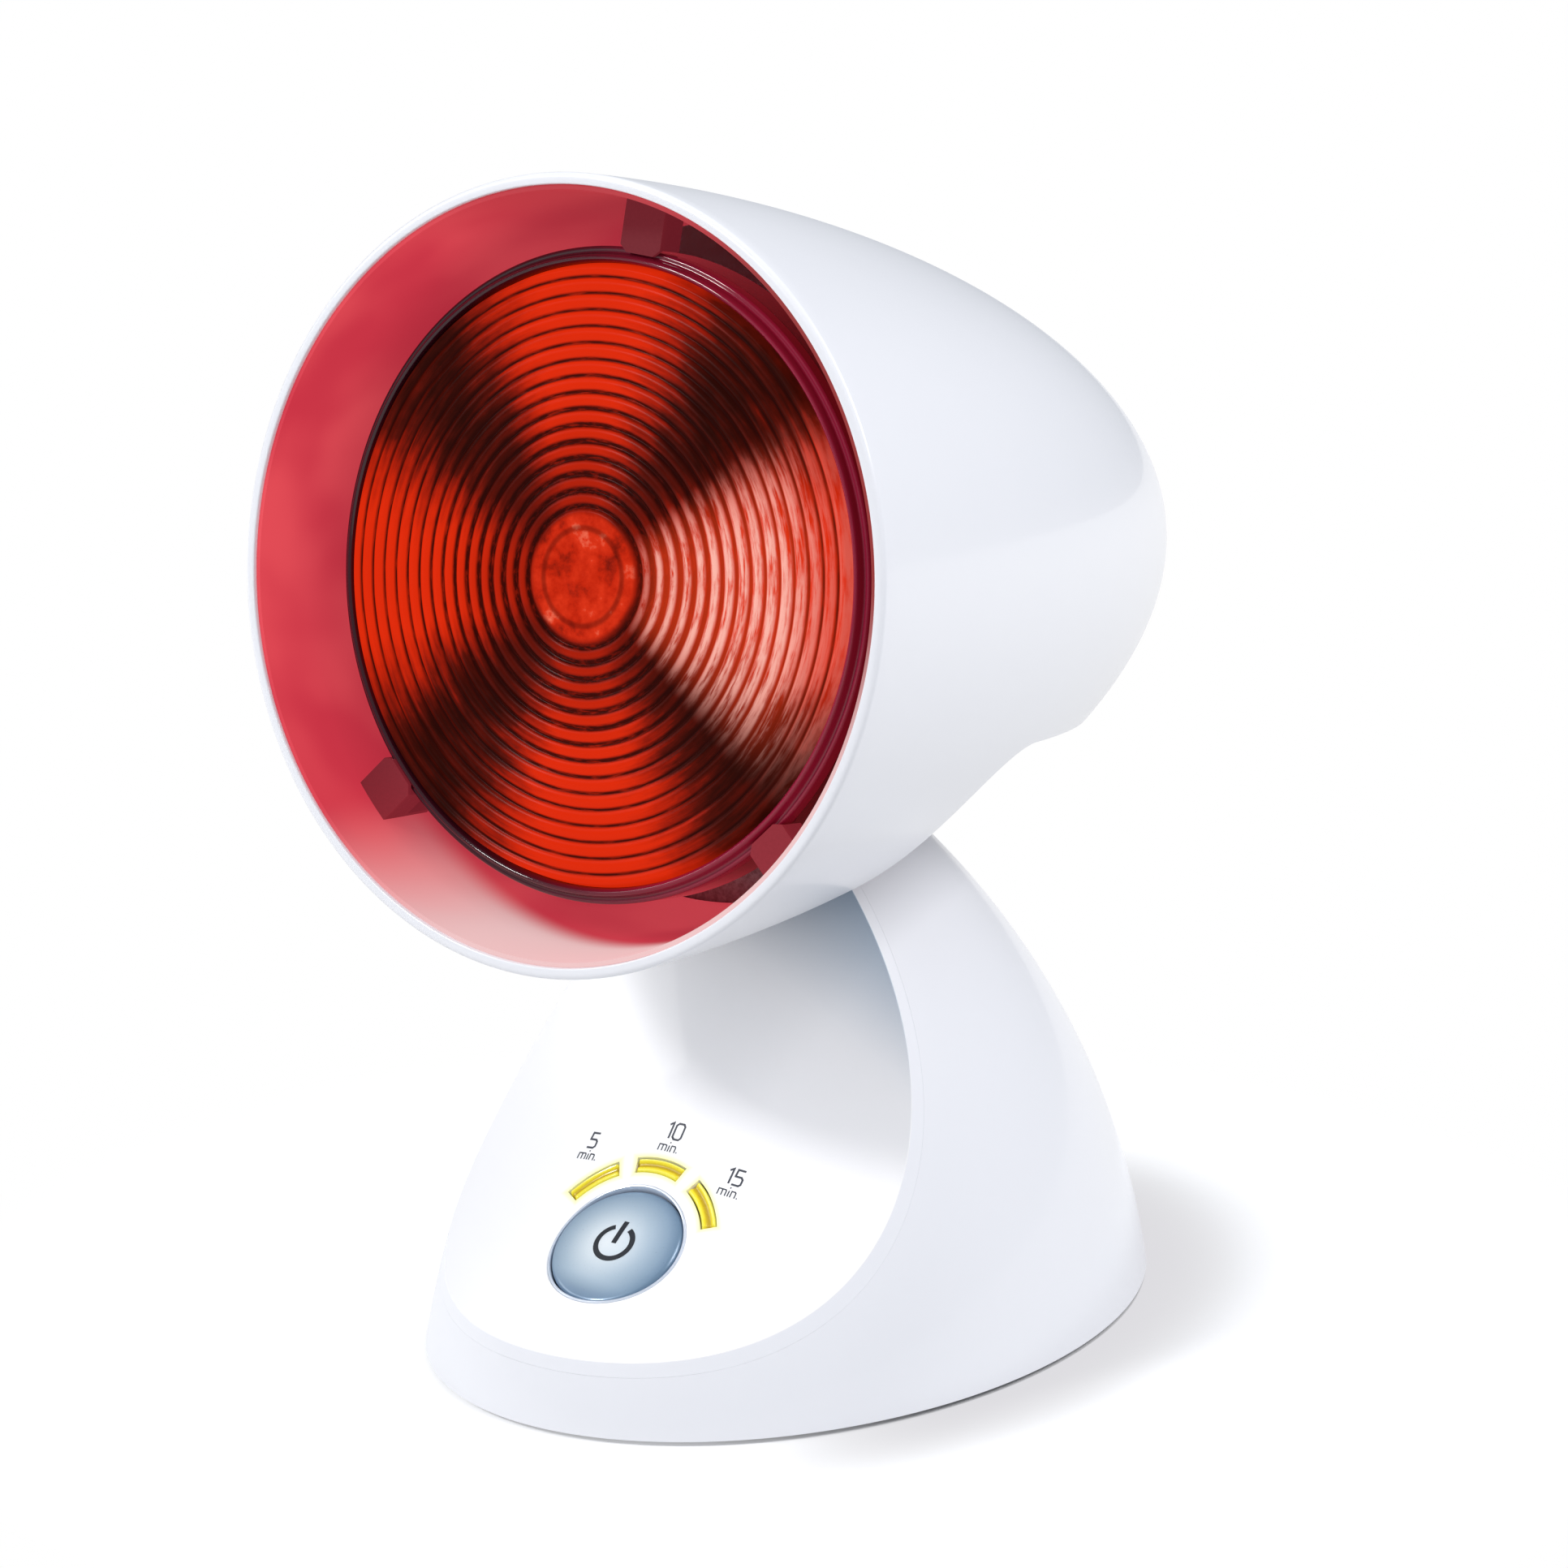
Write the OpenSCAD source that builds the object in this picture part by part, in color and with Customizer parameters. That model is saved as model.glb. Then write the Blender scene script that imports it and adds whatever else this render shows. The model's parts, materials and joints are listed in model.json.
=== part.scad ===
// Infrared heat lamp: a domed base with a timer panel carries a tilting round
// shade with a pressed-glass lamp in it. Millimetres, +Z up, the lamp faces -Y,
// and the origin is on the table, under the middle of the whole lamp.

/* [Base] */
// Width of the oval footprint, side to side
base_width = 130; // [116:1:144]
// Length of the oval footprint, front to back
base_length = 179; // [164:1:190]
// Radius of the arc that curves the base's sides in towards the neck
base_arc = 192; // [184:1:204]
// Thickness of the base's plastic wall
base_wall = 2.6; // [2:0.1:3.2]
// Height of the rubber feet below the shell
foot_height = 1.0; // [0.8:0.1:1.6]

/* [Neck and tilt hinge] */
// Height of the tilt axis above the table
hinge_height = 104; // [101:0.5:106]
// Distance of the tilt axis behind the middle of the base
hinge_setback = 4; // [2:0.5:6]
// Radius of the barrel at the top of the neck
barrel_radius = 13; // [11.5:0.5:13.5]
// Length of the barrel between the two ears
barrel_length = 34; // [32:0.5:36]
// Diameter of the bolt that the shade tilts on
axle_diameter = 6; // [5:0.5:7]
// Upward tilt of the lamp as it stands at rest, in degrees
rest_tilt = 7.4; // [4:0.2:11]

/* [Control panel] */
// Lean of the panel back from upright at the button, in degrees
panel_lean = 54.6; // [53:0.2:56]
// Distance of the button's middle in front of the middle of the base
panel_forward = 60.7; // [58:0.2:62]
// Height of the button's middle above the table
panel_height = 28; // [26:0.2:29.4]
// Radius of the hollow curve that runs up the panel
panel_hollow = 112; // [108:1:118]
// Radius of the outward curve that runs across the panel
panel_crown = 163; // [150:1:190]
// Thickness of the panel
panel_thickness = 2.2; // [1.8:0.1:2.4]
// Diameter of the power button
button_diameter = 27; // [24:0.2:27.4]
// Distance the power button is pressed in
button_travel = 0.5; // [0.3:0.05:0.6]
// Middle radius of the three time lights round the button
light_radius = 18.7; // [18.2:0.1:20]
// Angle that each time light covers, in degrees
light_sweep = 33; // [26:1:38]
// Angle from one time light to the next, in degrees
light_step = 45; // [41:1:48]

/* [Shade] */
// Length of the shade from the rim to the back
shade_length = 197; // [190:1:206]
// Thickness of the shade's plastic wall
shade_wall = 2.2; // [1.8:0.1:2.6]
// Rise of the shade's own axis towards the back, in degrees
shade_rise = 2.4; // [1.4:0.2:3.4]
// Distance of the rim in front of the tilt axis
rim_forward = 90; // [88:0.5:92]
// Height of the lamp's axis above the tilt axis
lamp_rise = 45.7; // [45:0.1:47.5]
// Radius of the arch cut out of the shade round the neck
arch_radius = 28; // [27:0.2:28.6]

/* [Lamp] */
// Diameter of the pressed-glass lamp
lamp_diameter = 121; // [118:0.5:122]
// Room round the lamp, out to the outside of the shade's rim
lamp_gap = 12.7; // [12:0.1:14]
// Distance of the lamp's front edge behind the rim
lamp_setback = 14.6; // [13:0.2:17]
// Radius of the lamp's glass neck
lamp_neck = 20.5; // [18.5:0.1:20.8]
// Diameter of the lamp's screw cap
cap_diameter = 26.4; // [25:0.1:27]
// Distance from one ring of the lens to the next
rib_pitch = 3.0; // [2.6:0.1:3.4]

/* [Hidden] */
$fn = 96;
eps = 0.05;

// Base: the side arc starts at half the width and its middle lies below the table.
base_half = base_width / 2;
base_ratio = base_length / base_width;
arc_drop = 26;
arc_middle = base_half - sqrt(base_arc * base_arc - arc_drop * arc_drop);
inner_ratio = (base_length / 2 - base_wall) / (base_half - base_wall);
hollow_top = hinge_height - 16;
plate_thickness = 2.5;
plate_bottom = foot_height + 0.4;
plate_top = plate_bottom + plate_thickness;
foot_radius = 7;
foot_places = [[40, 42], [-40, 42], [38, -44], [-38, -44]];
screw_radius = 1.45;
screw_clearance = 0.06;
boss_radius = 4;
boss_places = [[36, 58], [-36, 58], [42, -32], [-42, -32]];
seat = 0.1;

// Neck and hinge
axle_radius = axle_diameter / 2;
running = 0.05;
washer_thickness = 0.9;
ear_gap = 0.2;
ear_inner = barrel_length / 2 + washer_thickness + ear_gap;
ear_thickness = 2;
ear_outer = ear_inner + ear_thickness;
ear_radius = 9;
ear_slot = ear_outer + ear_gap - barrel_length / 2;
bolt_room = ear_radius - 1.6;
spring_thickness = 1.0;
head_length = 4;
lead_radius = 2.8;

// Panel: its frame has +Z out of the panel and +Y up along it, at the button.
panel_turn = 90 - panel_lean;
panel_seam = 0.15;
window_size = [62, 52];
window_up = 4;
frame_wall = 0.55;
button_gap = 0.25;
button_radius = button_diameter / 2;
frame_inner = button_radius + button_gap;
frame_outer = frame_inner + frame_wall;
flange_radius = button_radius + 1.7;
flange_top = -3.4;
flange_thickness = 1.0;
button_crown = 1.5;
button_dome = 60;
light_width = 3.2;
light_gap = 0.1;
light_proud = 0.25;
board_size = [56, 46];
board_up = 3;
board_thickness = 1.6;
board_front = -9;
post_places = [[24, -15], [-24, -15], [24, 21], [-24, 21]];
post_radius = 2.6;
switch_top = -5.5;
plunger_radius = 1.75;
plunger_top = flange_top - flange_thickness - 0.1;
plunger_length = 3.4;

// Power board on the base plate
power_size = [60, 46];
power_middle = 43;
power_bottom = plate_top + 6;
power_top = power_bottom + board_thickness;
power_posts = [[26, 24], [-26, 24], [26, 62], [-26, 62]];
gland_height = 16;
gland_bore = 3.3;
gland_radius = 5.5;

// Shade: its outline is a rounded bullet turned about its own axis.
shade_radius = lamp_diameter / 2 + lamp_gap;
bullet_start = -11.5;
bullet_power = 1.83;
arch_middle = [-4.8, -9.7];
arch_top = arch_middle[1] + arch_radius;
chassis_gap = 1.2;
chassis_thickness = 1.8;
chassis_bottom = arch_top + chassis_gap;
chassis_top = chassis_bottom + chassis_thickness;
liner_gap = 0.15;
liner_thickness = 0.8;
liner_from = 3;
liner_to = 52;
lip_chamfer = 1.0;
chassis_boss_depths = [100, 140];
yoke_screw_places = [[10, 0], [-10, 0], [10, 15], [-10, 15]];
yoke_top = chassis_bottom - 0.3;
yoke_sheet = 2;

// Lamp, measured back from its front edge
lamp_radius = lamp_diameter / 2;
lens_edge = lamp_radius - 3.1;
lens_step = 2.0;
lens_bulge = 2.0;
lens_back = 2.9;
rib_height = 0.8;
disc_radius = 11.6;
rib_count = floor((lens_edge - disc_radius - 0.6) / rib_pitch);
bowl_from = 11.4;
bowl_depth = 62;
glass = 2;
neck_to = 92;
skirt_to = 100;
shell_to = 124;
tip_to = 129.5;
cap_radius = cap_diameter / 2;
socket_from = 103;
socket_to = 146;
socket_radius = 20;
socket_screw_sides = [-8, 8];
socket_foot_at = lamp_setback + socket_to - rim_forward - 8;
clip_angles = [5.5, 135, 225.5];
clip_sheet = 0.9;
clip_width = 9;
clip_tip = 6;
clip_foot = 11;
clip_flange = 5;
clip_hook = 1.0;
clip_gap = 0.3;
filament_at = 33;
filament_radius = 7;
stem_from = 70;
stem_radius = 8;

// Radius of the shade at a depth behind the rim
function bullet_reach(inset) = shade_length - inset - bullet_start;
function shade_at(depth, inset = 0) =
    (shade_radius - inset) * pow(1 - pow((depth - bullet_start) / bullet_reach(inset), bullet_power), 1 / bullet_power);
// Radius of the lamp's bowl at a depth behind its front edge
function bowl_at(depth) = (lamp_radius - 0.5) * sqrt((bowl_depth - depth) / (bowl_depth - bowl_from));
neck_from = bowl_depth - (bowl_depth - bowl_from) * pow(lamp_neck / (lamp_radius - 0.5), 2);
// Half width of the base at a height, for its outside or a surface inside it
function base_at(height, inset = 0) =
    sqrt(pow(base_arc - inset, 2) - pow(height + arc_drop, 2)) + arc_middle;
// Half width of the room in the shade at the chassis, at a depth behind the rim
function chassis_half(depth) =
    sqrt(pow(shade_at(depth, shade_wall), 2)
        - pow(lamp_rise + (depth * sin(shade_rise)) - chassis_top, 2));

// Middle of the whole lamp, front to back, measured from the middle of the base: the
// front is the base or the lower lip of the shade, and the back is the shade's
dual_power = bullet_power / (bullet_power - 1);
lamp_front = min(-base_at(foot_height) * base_ratio,
    hinge_setback - rim_forward * cos(rest_tilt)
        - (shade_radius - lip_chamfer - lamp_rise) * sin(rest_tilt));
lamp_back = hinge_setback - rim_forward * cos(rest_tilt) + lamp_rise * sin(rest_tilt)
    + bullet_start * cos(rest_tilt - shade_rise)
    + pow(pow(bullet_reach(0) * cos(rest_tilt - shade_rise), dual_power)
        + pow(shade_radius * abs(sin(rest_tilt - shade_rise)), dual_power), 1 / dual_power);
lamp_middle = (lamp_front + lamp_back) / 2;

// ---------- frames ----------

// Moves a piece, drawn from the middle of the base, to the lamp's own middle
module centred() {
    translate([0, -lamp_middle, 0])
        children();
}

// Panel frame: the button's middle, +Z out of the panel, +Y up along it
module in_panel() {
    translate([0, -panel_forward, panel_height])
        rotate([panel_turn, 0, 0])
            children();
}

// Hood frame: the tilt axis at rest, turned with the shade, the lamp faces -Y
module in_hood() {
    translate([0, hinge_setback, hinge_height])
        rotate([-rest_tilt, 0, 0])
            children();
}

// Rim frame: the middle of the rim, +Z out of the lamp, +Y up
module in_rim() {
    in_hood()
        translate([0, -rim_forward, lamp_rise])
            rotate([90, 0, 0])
                children();
}

// Lamp frame: the middle of the lamp's front edge, +Z back along the lamp
module in_lamp() {
    in_rim()
        translate([0, 0, -lamp_setback])
            rotate([0, 180, 0])
                children();
}

// ---------- shared shapes ----------

module rounded_rect(size, r) {
    square([size[0] - 2 * r, size[1]], center = true);
    square([size[0], size[1] - 2 * r], center = true);
    for (x = [-1, 1])
        for (y = [-1, 1])
            translate([x * (size[0] / 2 - r), y * (size[1] / 2 - r)])
                circle(r);
}

// A long hole with round ends
module slot(width, length) {
    square([width, length - width], center = true);
    for (end = [-1, 1])
        translate([0, end * (length - width) / 2])
            circle(d = width, $fn = 24);
}

// A half outline turned a quarter at a time into a body that is oval seen from above
module oval_turn(ratio) {
    for (quarter = [0:3])
        scale([1, ratio, 1])
            rotate([0, 0, 90 * quarter])
                rotate_extrude(angle = 90)
                    children();
}

// The dome of the base between two heights, drawn in by an inset
module dome(inset, ratio, low, high) {
    oval_turn(ratio)
        intersection() {
            translate([arc_middle, -arc_drop])
                circle(r = base_arc - inset, $fn = 480);
            translate([0, low])
                square([base_half + 5, high - low]);
        }
}

// Spool whose surface is the panel's face: hollow up the panel, crowned across it
module spool(grow) {
    reach = panel_hollow + panel_crown;
    in_panel()
        translate([0, 0, panel_hollow])
            rotate([0, 90, 0])
                rotate_extrude()
                    difference() {
                        translate([0, -base_half - 5])
                            square([panel_hollow + 30, base_width + 10]);
                        translate([reach, 0])
                            circle(r = panel_crown - grow, $fn = 480);
                    }
}

// Part of a ring that stands on the panel, for a time light at an angle from the top
module light_arc(angle, gap) {
    inner = light_radius - light_width / 2 - gap;
    width = light_width + 2 * gap;
    spread = light_sweep + 2 * gap / light_radius * 57.3;
    in_panel()
        rotate([0, 0, 90 - angle - spread / 2])
            translate([0, 0, -6])
                rotate_extrude(angle = spread)
                    translate([inner, 0])
                        square([width, 12]);
}

// The shade's outline turned about its own axis, drawn in by an inset
module bullet(inset) {
    steps = 30;
    start = shade_radius - inset;
    rotate([shade_rise, 0, 0])
        rotate_extrude()
            polygon(concat(
                [[0, -bullet_start]],
                [for (i = [0:steps])
                    let (a = 90 * i / steps)
                    [start * pow(cos(a), 2 / bullet_power),
                        -bullet_start - bullet_reach(inset) * pow(sin(a), 2 / bullet_power)]
                ]
            ));
}

// The arch and the open underside behind it, cut straight across the shade
module arch_cut(grow) {
    rotate([90, 0, 90])
        linear_extrude(height = 200, center = true) {
            translate(arch_middle)
                circle(r = arch_radius + grow);
            translate([arch_middle[0], -70])
                square([200, 70 + arch_top + grow]);
        }
}

// A pan-head screw standing on z = 0, its shank pointing down
module pan_screw(r, length) {
    translate([0, 0, -length])
        cylinder(r = r, h = length + eps, $fn = 32);
    intersection() {
        cylinder(r = 2 * r, h = 1.2 * r, $fn = 32);
        translate([0, 0, -2.2 * r])
            sphere(r = 3.4 * r, $fn = 48);
    }
}

// ---------- base ----------

module neck_barrel() {
    translate([0, hinge_setback, hinge_height])
        rotate([0, 90, 0])
            cylinder(r = barrel_radius, h = barrel_length, center = true);
}

module axle_hole(r) {
    translate([0, hinge_setback, hinge_height])
        rotate([0, 90, 0])
            cylinder(r = r, h = 80, center = true, $fn = 48);
}

// Posts inside the shell that take the base plate's screws
module shell_posts() {
    for (p = boss_places)
        translate([p[0], p[1], plate_top + seat])
            cylinder(r = boss_radius, h = 70, $fn = 40);
}

module base_shell() {
    behind = panel_thickness + panel_seam;
    color([0.93, 0.94, 0.96])
        difference() {
            union() {
                dome(0, base_ratio, foot_height, hinge_height);
                neck_barrel();
            }
            spool(behind);
            difference() {
                dome(base_wall, inner_ratio, 0, hollow_top);
                spool(behind + base_wall);
                shell_posts();
            }
            // Window in the front wall for the button and the timer board
            in_panel()
                translate([0, window_up, -behind - base_wall - 4])
                    linear_extrude(height = base_wall + 8)
                        rounded_rect(window_size, 8);
            // Slots in the sides of the neck for the ears, and rooms for the bolt's ends
            for (side = [0, 180])
                translate([0, hinge_setback, hinge_height])
                    rotate([0, 90, side])
                        translate([0, 0, barrel_length / 2]) {
                            cylinder(r = barrel_radius - 1, h = ear_slot);
                            cylinder(r = bolt_room, h = 30);
                        }
            axle_hole(axle_radius + running);
            // Passage for the lamp's leads behind the bolt
            translate([0, hinge_setback + ear_radius, hollow_top - 4])
                cylinder(r = lead_radius, h = 40, $fn = 40);
            // Hole for the gland at the back
            translate([0, base_length / 2 - 20, gland_height])
                rotate([-90, 0, 0])
                    cylinder(r = gland_radius + seat, h = 30, $fn = 48);
            for (p = boss_places)
                translate([p[0], p[1], 0])
                    cylinder(r = screw_radius + screw_clearance, h = plate_top + 12, $fn = 32);
        }
}

module control_panel() {
    color([0.97, 0.97, 0.98])
        difference() {
            union() {
                intersection() {
                    dome(0, base_ratio, foot_height, hinge_height);
                    spool(panel_thickness);
                }
                in_panel()
                    for (p = post_places)
                        translate([p[0], p[1], board_front])
                            cylinder(r = post_radius, h = -board_front - 1.5, $fn = 32);
            }
            spool(0);
            in_panel() {
                translate([0, 0, -6])
                    cylinder(r = frame_outer + 0.05, h = 10);
                for (p = post_places)
                    translate([p[0], p[1], board_front - 1])
                        cylinder(r = 1.06, h = 6.5, $fn = 24);
            }
            for (i = [-1:1])
                light_arc(i * light_step, light_gap);
        }
}

module base_plate() {
    plate_scale = (base_length / 2 - base_wall - 1) / (base_half - base_wall - 1);
    plate_half = base_at(plate_top, base_wall) - 0.3;
    color([0.80, 0.81, 0.83])
        difference() {
            union() {
                translate([0, 0, plate_bottom])
                    oval_turn(plate_scale)
                        square([plate_half, plate_thickness]);
                for (p = power_posts)
                    translate([p[0], p[1], plate_bottom + 1])
                        cylinder(r = 2.6, h = power_bottom - plate_bottom - 1, $fn = 32);
            }
            for (p = foot_places)
                translate([p[0], p[1], plate_bottom - 1])
                    cylinder(r = foot_radius + seat, h = 2, $fn = 48);
            for (p = boss_places)
                translate([p[0], p[1], plate_bottom - 1]) {
                    cylinder(r = 2 * screw_radius + 0.2, h = 2.2, $fn = 40);
                    cylinder(r = screw_radius + screw_clearance, h = 10, $fn = 32);
                }
            for (p = power_posts)
                translate([p[0], p[1], plate_bottom + 1])
                    cylinder(r = 1.06, h = 20, $fn = 24);
            for (x = [-22, 22])
                translate([x, -10, plate_bottom + 1])
                    cylinder(r = screw_radius + screw_clearance, h = 10, $fn = 32);
            // Row of air slots under the power board
            for (x = [-18:6:18])
                translate([x, power_middle, 0])
                    linear_extrude(height = 20)
                        slot(2.4, 22);
        }
}

module foot_pads() {
    color([0.16, 0.16, 0.17])
        for (p = foot_places)
            translate([p[0], p[1], 0])
                difference() {
                    cylinder(r = foot_radius, h = plate_bottom + 1 - seat, $fn = 48);
                    translate([0, 0, -1])
                        cylinder(r = 3, h = 1.4, $fn = 32);
                }
}

module base_screws() {
    color([0.72, 0.73, 0.75])
        for (p = boss_places)
            translate([p[0], p[1], plate_bottom + 1.2])
                rotate([180, 0, 0])
                    translate([0, 0, seat])
                        difference() {
                            union() {
                                translate([0, 0, -11])
                                    cylinder(r = screw_radius, h = 11, $fn = 32);
                                cylinder(r = 2 * screw_radius, h = 1, $fn = 32);
                            }
                            for (a = [0, 90])
                                rotate([0, 0, a])
                                    translate([-1.7, -0.3, 0.3])
                                        cube([3.4, 0.6, 2]);
                        }
}

module ballast_weight() {
    color([0.45, 0.46, 0.48])
        translate([0, -10, plate_top + seat])
            difference() {
                linear_extrude(height = 7)
                    rounded_rect([60, 38], 6);
                for (x = [-22, 22])
                    translate([x, 0, -1])
                        cylinder(r = screw_radius + 0.3, h = 10, $fn = 32);
            }
}

module ballast_screws() {
    color([0.72, 0.73, 0.75])
        for (x = [-22, 22])
            translate([x, -10, plate_top + seat + 7 + seat])
                pan_screw(screw_radius, 8.4);
}

module cord_gland() {
    back = base_length / 2;
    color([0.20, 0.20, 0.22])
        translate([0, 0, gland_height])
            rotate([-90, 0, 0])
                difference() {
                    union() {
                        translate([0, 0, back - 14])
                            cylinder(r = gland_radius, h = 13, $fn = 48);
                        translate([0, 0, back - 14])
                            cylinder(r = gland_radius + 2, h = 2, $fn = 48);
                    }
                    translate([0, 0, back - 20])
                        cylinder(r = gland_bore, h = 30, $fn = 48);
                }
}

// ---------- controls ----------

module button_frame() {
    color([0.86, 0.88, 0.91])
        in_panel()
            translate([0, 0, -2.9])
                difference() {
                    cylinder(r = frame_outer, h = 4);
                    translate([0, 0, -1])
                        cylinder(r = frame_inner, h = 6);
                }
}

module light_bar(angle) {
    color([0.98, 0.85, 0.05])
        intersection() {
            difference() {
                light_arc(angle, 0);
                spool(-light_proud);
            }
            spool(panel_thickness + 1.4);
        }
}

module light_bar_5() {
    light_bar(-light_step);
}

module light_bar_10() {
    light_bar(0);
}

module light_bar_15() {
    light_bar(light_step);
}

module power_button() {
    flange_bottom = flange_top - flange_thickness;
    color([0.55, 0.68, 0.84])
        in_panel()
            difference() {
                union() {
                    intersection() {
                        translate([0, 0, flange_bottom])
                            cylinder(r = button_radius, h = 10);
                        translate([0, 0, button_crown - button_dome])
                            sphere(r = button_dome, $fn = 120);
                    }
                    translate([0, 0, flange_bottom])
                        cylinder(r = flange_radius, h = flange_thickness);
                }
                translate([0, 0, flange_bottom - 1])
                    difference() {
                        cylinder(r = button_radius - 1.8, h = 4.6);
                        cylinder(r = 2.6, h = 6, $fn = 40);
                    }
            }
}

module control_board() {
    color([0.05, 0.35, 0.18])
        in_panel()
            translate([0, 0, board_front - board_thickness - seat])
                difference() {
                    translate([0, board_up, 0])
                        linear_extrude(height = board_thickness)
                            rounded_rect(board_size, 2);
                    for (p = post_places)
                        translate([p[0], p[1], -1])
                            cylinder(r = 1.2, h = 4, $fn = 24);
                }
}

module control_screws() {
    color([0.72, 0.73, 0.75])
        in_panel()
            for (p = post_places)
                translate([p[0], p[1], board_front - board_thickness - 2 * seat])
                    rotate([180, 0, 0])
                        pan_screw(1, 6);
}

module timer_leds() {
    color([0.95, 0.93, 0.75])
        in_panel()
            for (i = [-1:1])
                rotate([0, 0, -i * light_step])
                    translate([0, light_radius, board_front]) {
                        translate([-1.7, -1.4, 0])
                            cube([3.4, 2.8, 1.8]);
                        translate([0, 0, 1.2])
                            cylinder(r = 1.1, h = 1.5, $fn = 24);
                    }
}

module timer_chip() {
    color([0.10, 0.10, 0.11])
        in_panel()
            translate([-14, -8, board_front - board_thickness - 2 * seat - 1.6])
                cube([9, 6, 1.6]);
}

module switch_body() {
    color([0.14, 0.14, 0.16])
        in_panel()
            difference() {
                translate([-3.1, -3.1, board_front])
                    cube([6.2, 6.2, switch_top - board_front]);
                translate([0, 0, plunger_top - plunger_length - button_travel - 0.1])
                    cylinder(r = plunger_radius + 0.08, h = 10, $fn = 40);
            }
}

module switch_plunger() {
    color([0.82, 0.80, 0.74])
        in_panel()
            translate([0, 0, plunger_top - plunger_length])
                cylinder(r = plunger_radius, h = plunger_length, $fn = 40);
}

// ---------- power board ----------

module power_board() {
    color([0.05, 0.35, 0.18])
        translate([0, 0, power_bottom + seat])
            difference() {
                translate([0, power_middle, 0])
                    linear_extrude(height = board_thickness)
                        rounded_rect(power_size, 2);
                for (p = power_posts)
                    translate([p[0], p[1], -1])
                        cylinder(r = 1.2, h = 4, $fn = 24);
            }
}

module power_board_screws() {
    color([0.72, 0.73, 0.75])
        for (p = power_posts)
            translate([p[0], p[1], power_top + 2 * seat])
                pan_screw(1, 6);
}

module transformer() {
    z = power_top + 2 * seat;
    color([0.35, 0.36, 0.38])
        translate([-12, 49, z]) {
            translate([-14, -8, 0])
                cube([28, 16, 23]);
            intersection() {
                translate([-10, -12, 3])
                    cube([20, 24, 17]);
                translate([0, 0, 11.5])
                    rotate([90, 0, 0])
                        cylinder(r = 12, h = 30, center = true);
            }
            for (x = [-8, 8])
                translate([x - 1, -11, 0])
                    cube([2, 22, 4]);
        }
}

module relay() {
    color([0.12, 0.25, 0.55])
        translate([8, 44, power_top + 2 * seat])
            cube([15.5, 19, 15.5]);
}

module capacitor() {
    color([0.10, 0.12, 0.20])
        translate([8, 30, power_top + 2 * seat]) {
            cylinder(r = 5, h = 17, $fn = 48);
            cylinder(r = 5.2, h = 1.4, $fn = 48);
        }
}

module terminal_block() {
    z = power_top + 2 * seat;
    color([0.15, 0.45, 0.25])
        difference() {
            translate([-21, 25, z])
                cube([21, 9, 11]);
            for (i = [0:2]) {
                translate([-17.5 + 7 * i, 29.5, z + 6])
                    cylinder(r = 2, h = 6, $fn = 24);
                translate([-17.5 + 7 * i, 24, z + 3.2])
                    rotate([-90, 0, 0])
                        cylinder(r = 1.7, h = 6, $fn = 24);
            }
        }
}

// ---------- tilt hinge ----------

module hinge_axle() {
    head_from = ear_outer + ear_gap + 0.1;
    nut_from = ear_outer + 2 * ear_gap + spring_thickness;
    color([0.75, 0.76, 0.78])
        translate([0, hinge_setback, hinge_height])
            rotate([0, 90, 0])
                difference() {
                    union() {
                        translate([0, 0, -nut_from - head_length - 1])
                            cylinder(r = axle_radius, h = nut_from + head_from + head_length + 1, $fn = 48);
                        translate([0, 0, head_from])
                            cylinder(r = axle_radius + 2.5, h = head_length, $fn = 48);
                    }
                    translate([0, 0, head_from + head_length - 2])
                        cylinder(r = axle_radius * 0.6, h = 3, $fn = 6);
                }
}

module hinge_nut() {
    nut_from = ear_outer + 2 * ear_gap + spring_thickness;
    color([0.70, 0.71, 0.73])
        translate([0, hinge_setback, hinge_height])
            rotate([0, -90, 0])
                translate([0, 0, nut_from])
                    difference() {
                        cylinder(r = axle_radius + 2.8, h = head_length, $fn = 6);
                        translate([0, 0, -1])
                            cylinder(r = axle_radius + running, h = head_length + 2, $fn = 48);
                    }
}

module friction_washers() {
    color([0.30, 0.22, 0.16])
        for (side = [-1, 1])
            translate([side * (barrel_length / 2 + washer_thickness / 2 + 0.02), hinge_setback, hinge_height])
                rotate([0, 90, 0])
                    difference() {
                        cylinder(r = ear_radius, h = washer_thickness, center = true, $fn = 64);
                        cylinder(r = axle_radius + running, h = 3, center = true, $fn = 48);
                    }
}

module spring_washer() {
    from = ear_outer + ear_gap;
    color([0.60, 0.61, 0.64])
        translate([0, hinge_setback, hinge_height])
            rotate([0, -90, 0])
                translate([0, 0, from])
                    rotate_extrude($fn = 64)
                        polygon([
                            [axle_radius + running, 0.4],
                            [axle_radius + running, spring_thickness],
                            [ear_radius - 2, 0.7],
                            [ear_radius - 2, 0.1]
                        ]);
}

// ---------- shade ----------

module shade_shell() {
    color([0.93, 0.94, 0.96])
        union() {
            difference() {
                in_rim()
                    difference() {
                        bullet(0);
                        bullet(shade_wall);
                        // Flat front edge with its outer corner taken off
                        cylinder(r = shade_radius + 10, h = 30);
                        rotate_extrude()
                            polygon([
                                [shade_radius - lip_chamfer, 1],
                                [shade_radius - lip_chamfer, 0],
                                [shade_radius, -lip_chamfer],
                                [shade_radius + 5, -lip_chamfer],
                                [shade_radius + 5, 1]
                            ]);
                    }
                in_hood()
                    arch_cut(0);
            }
            chassis_posts();
        }
}

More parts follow.
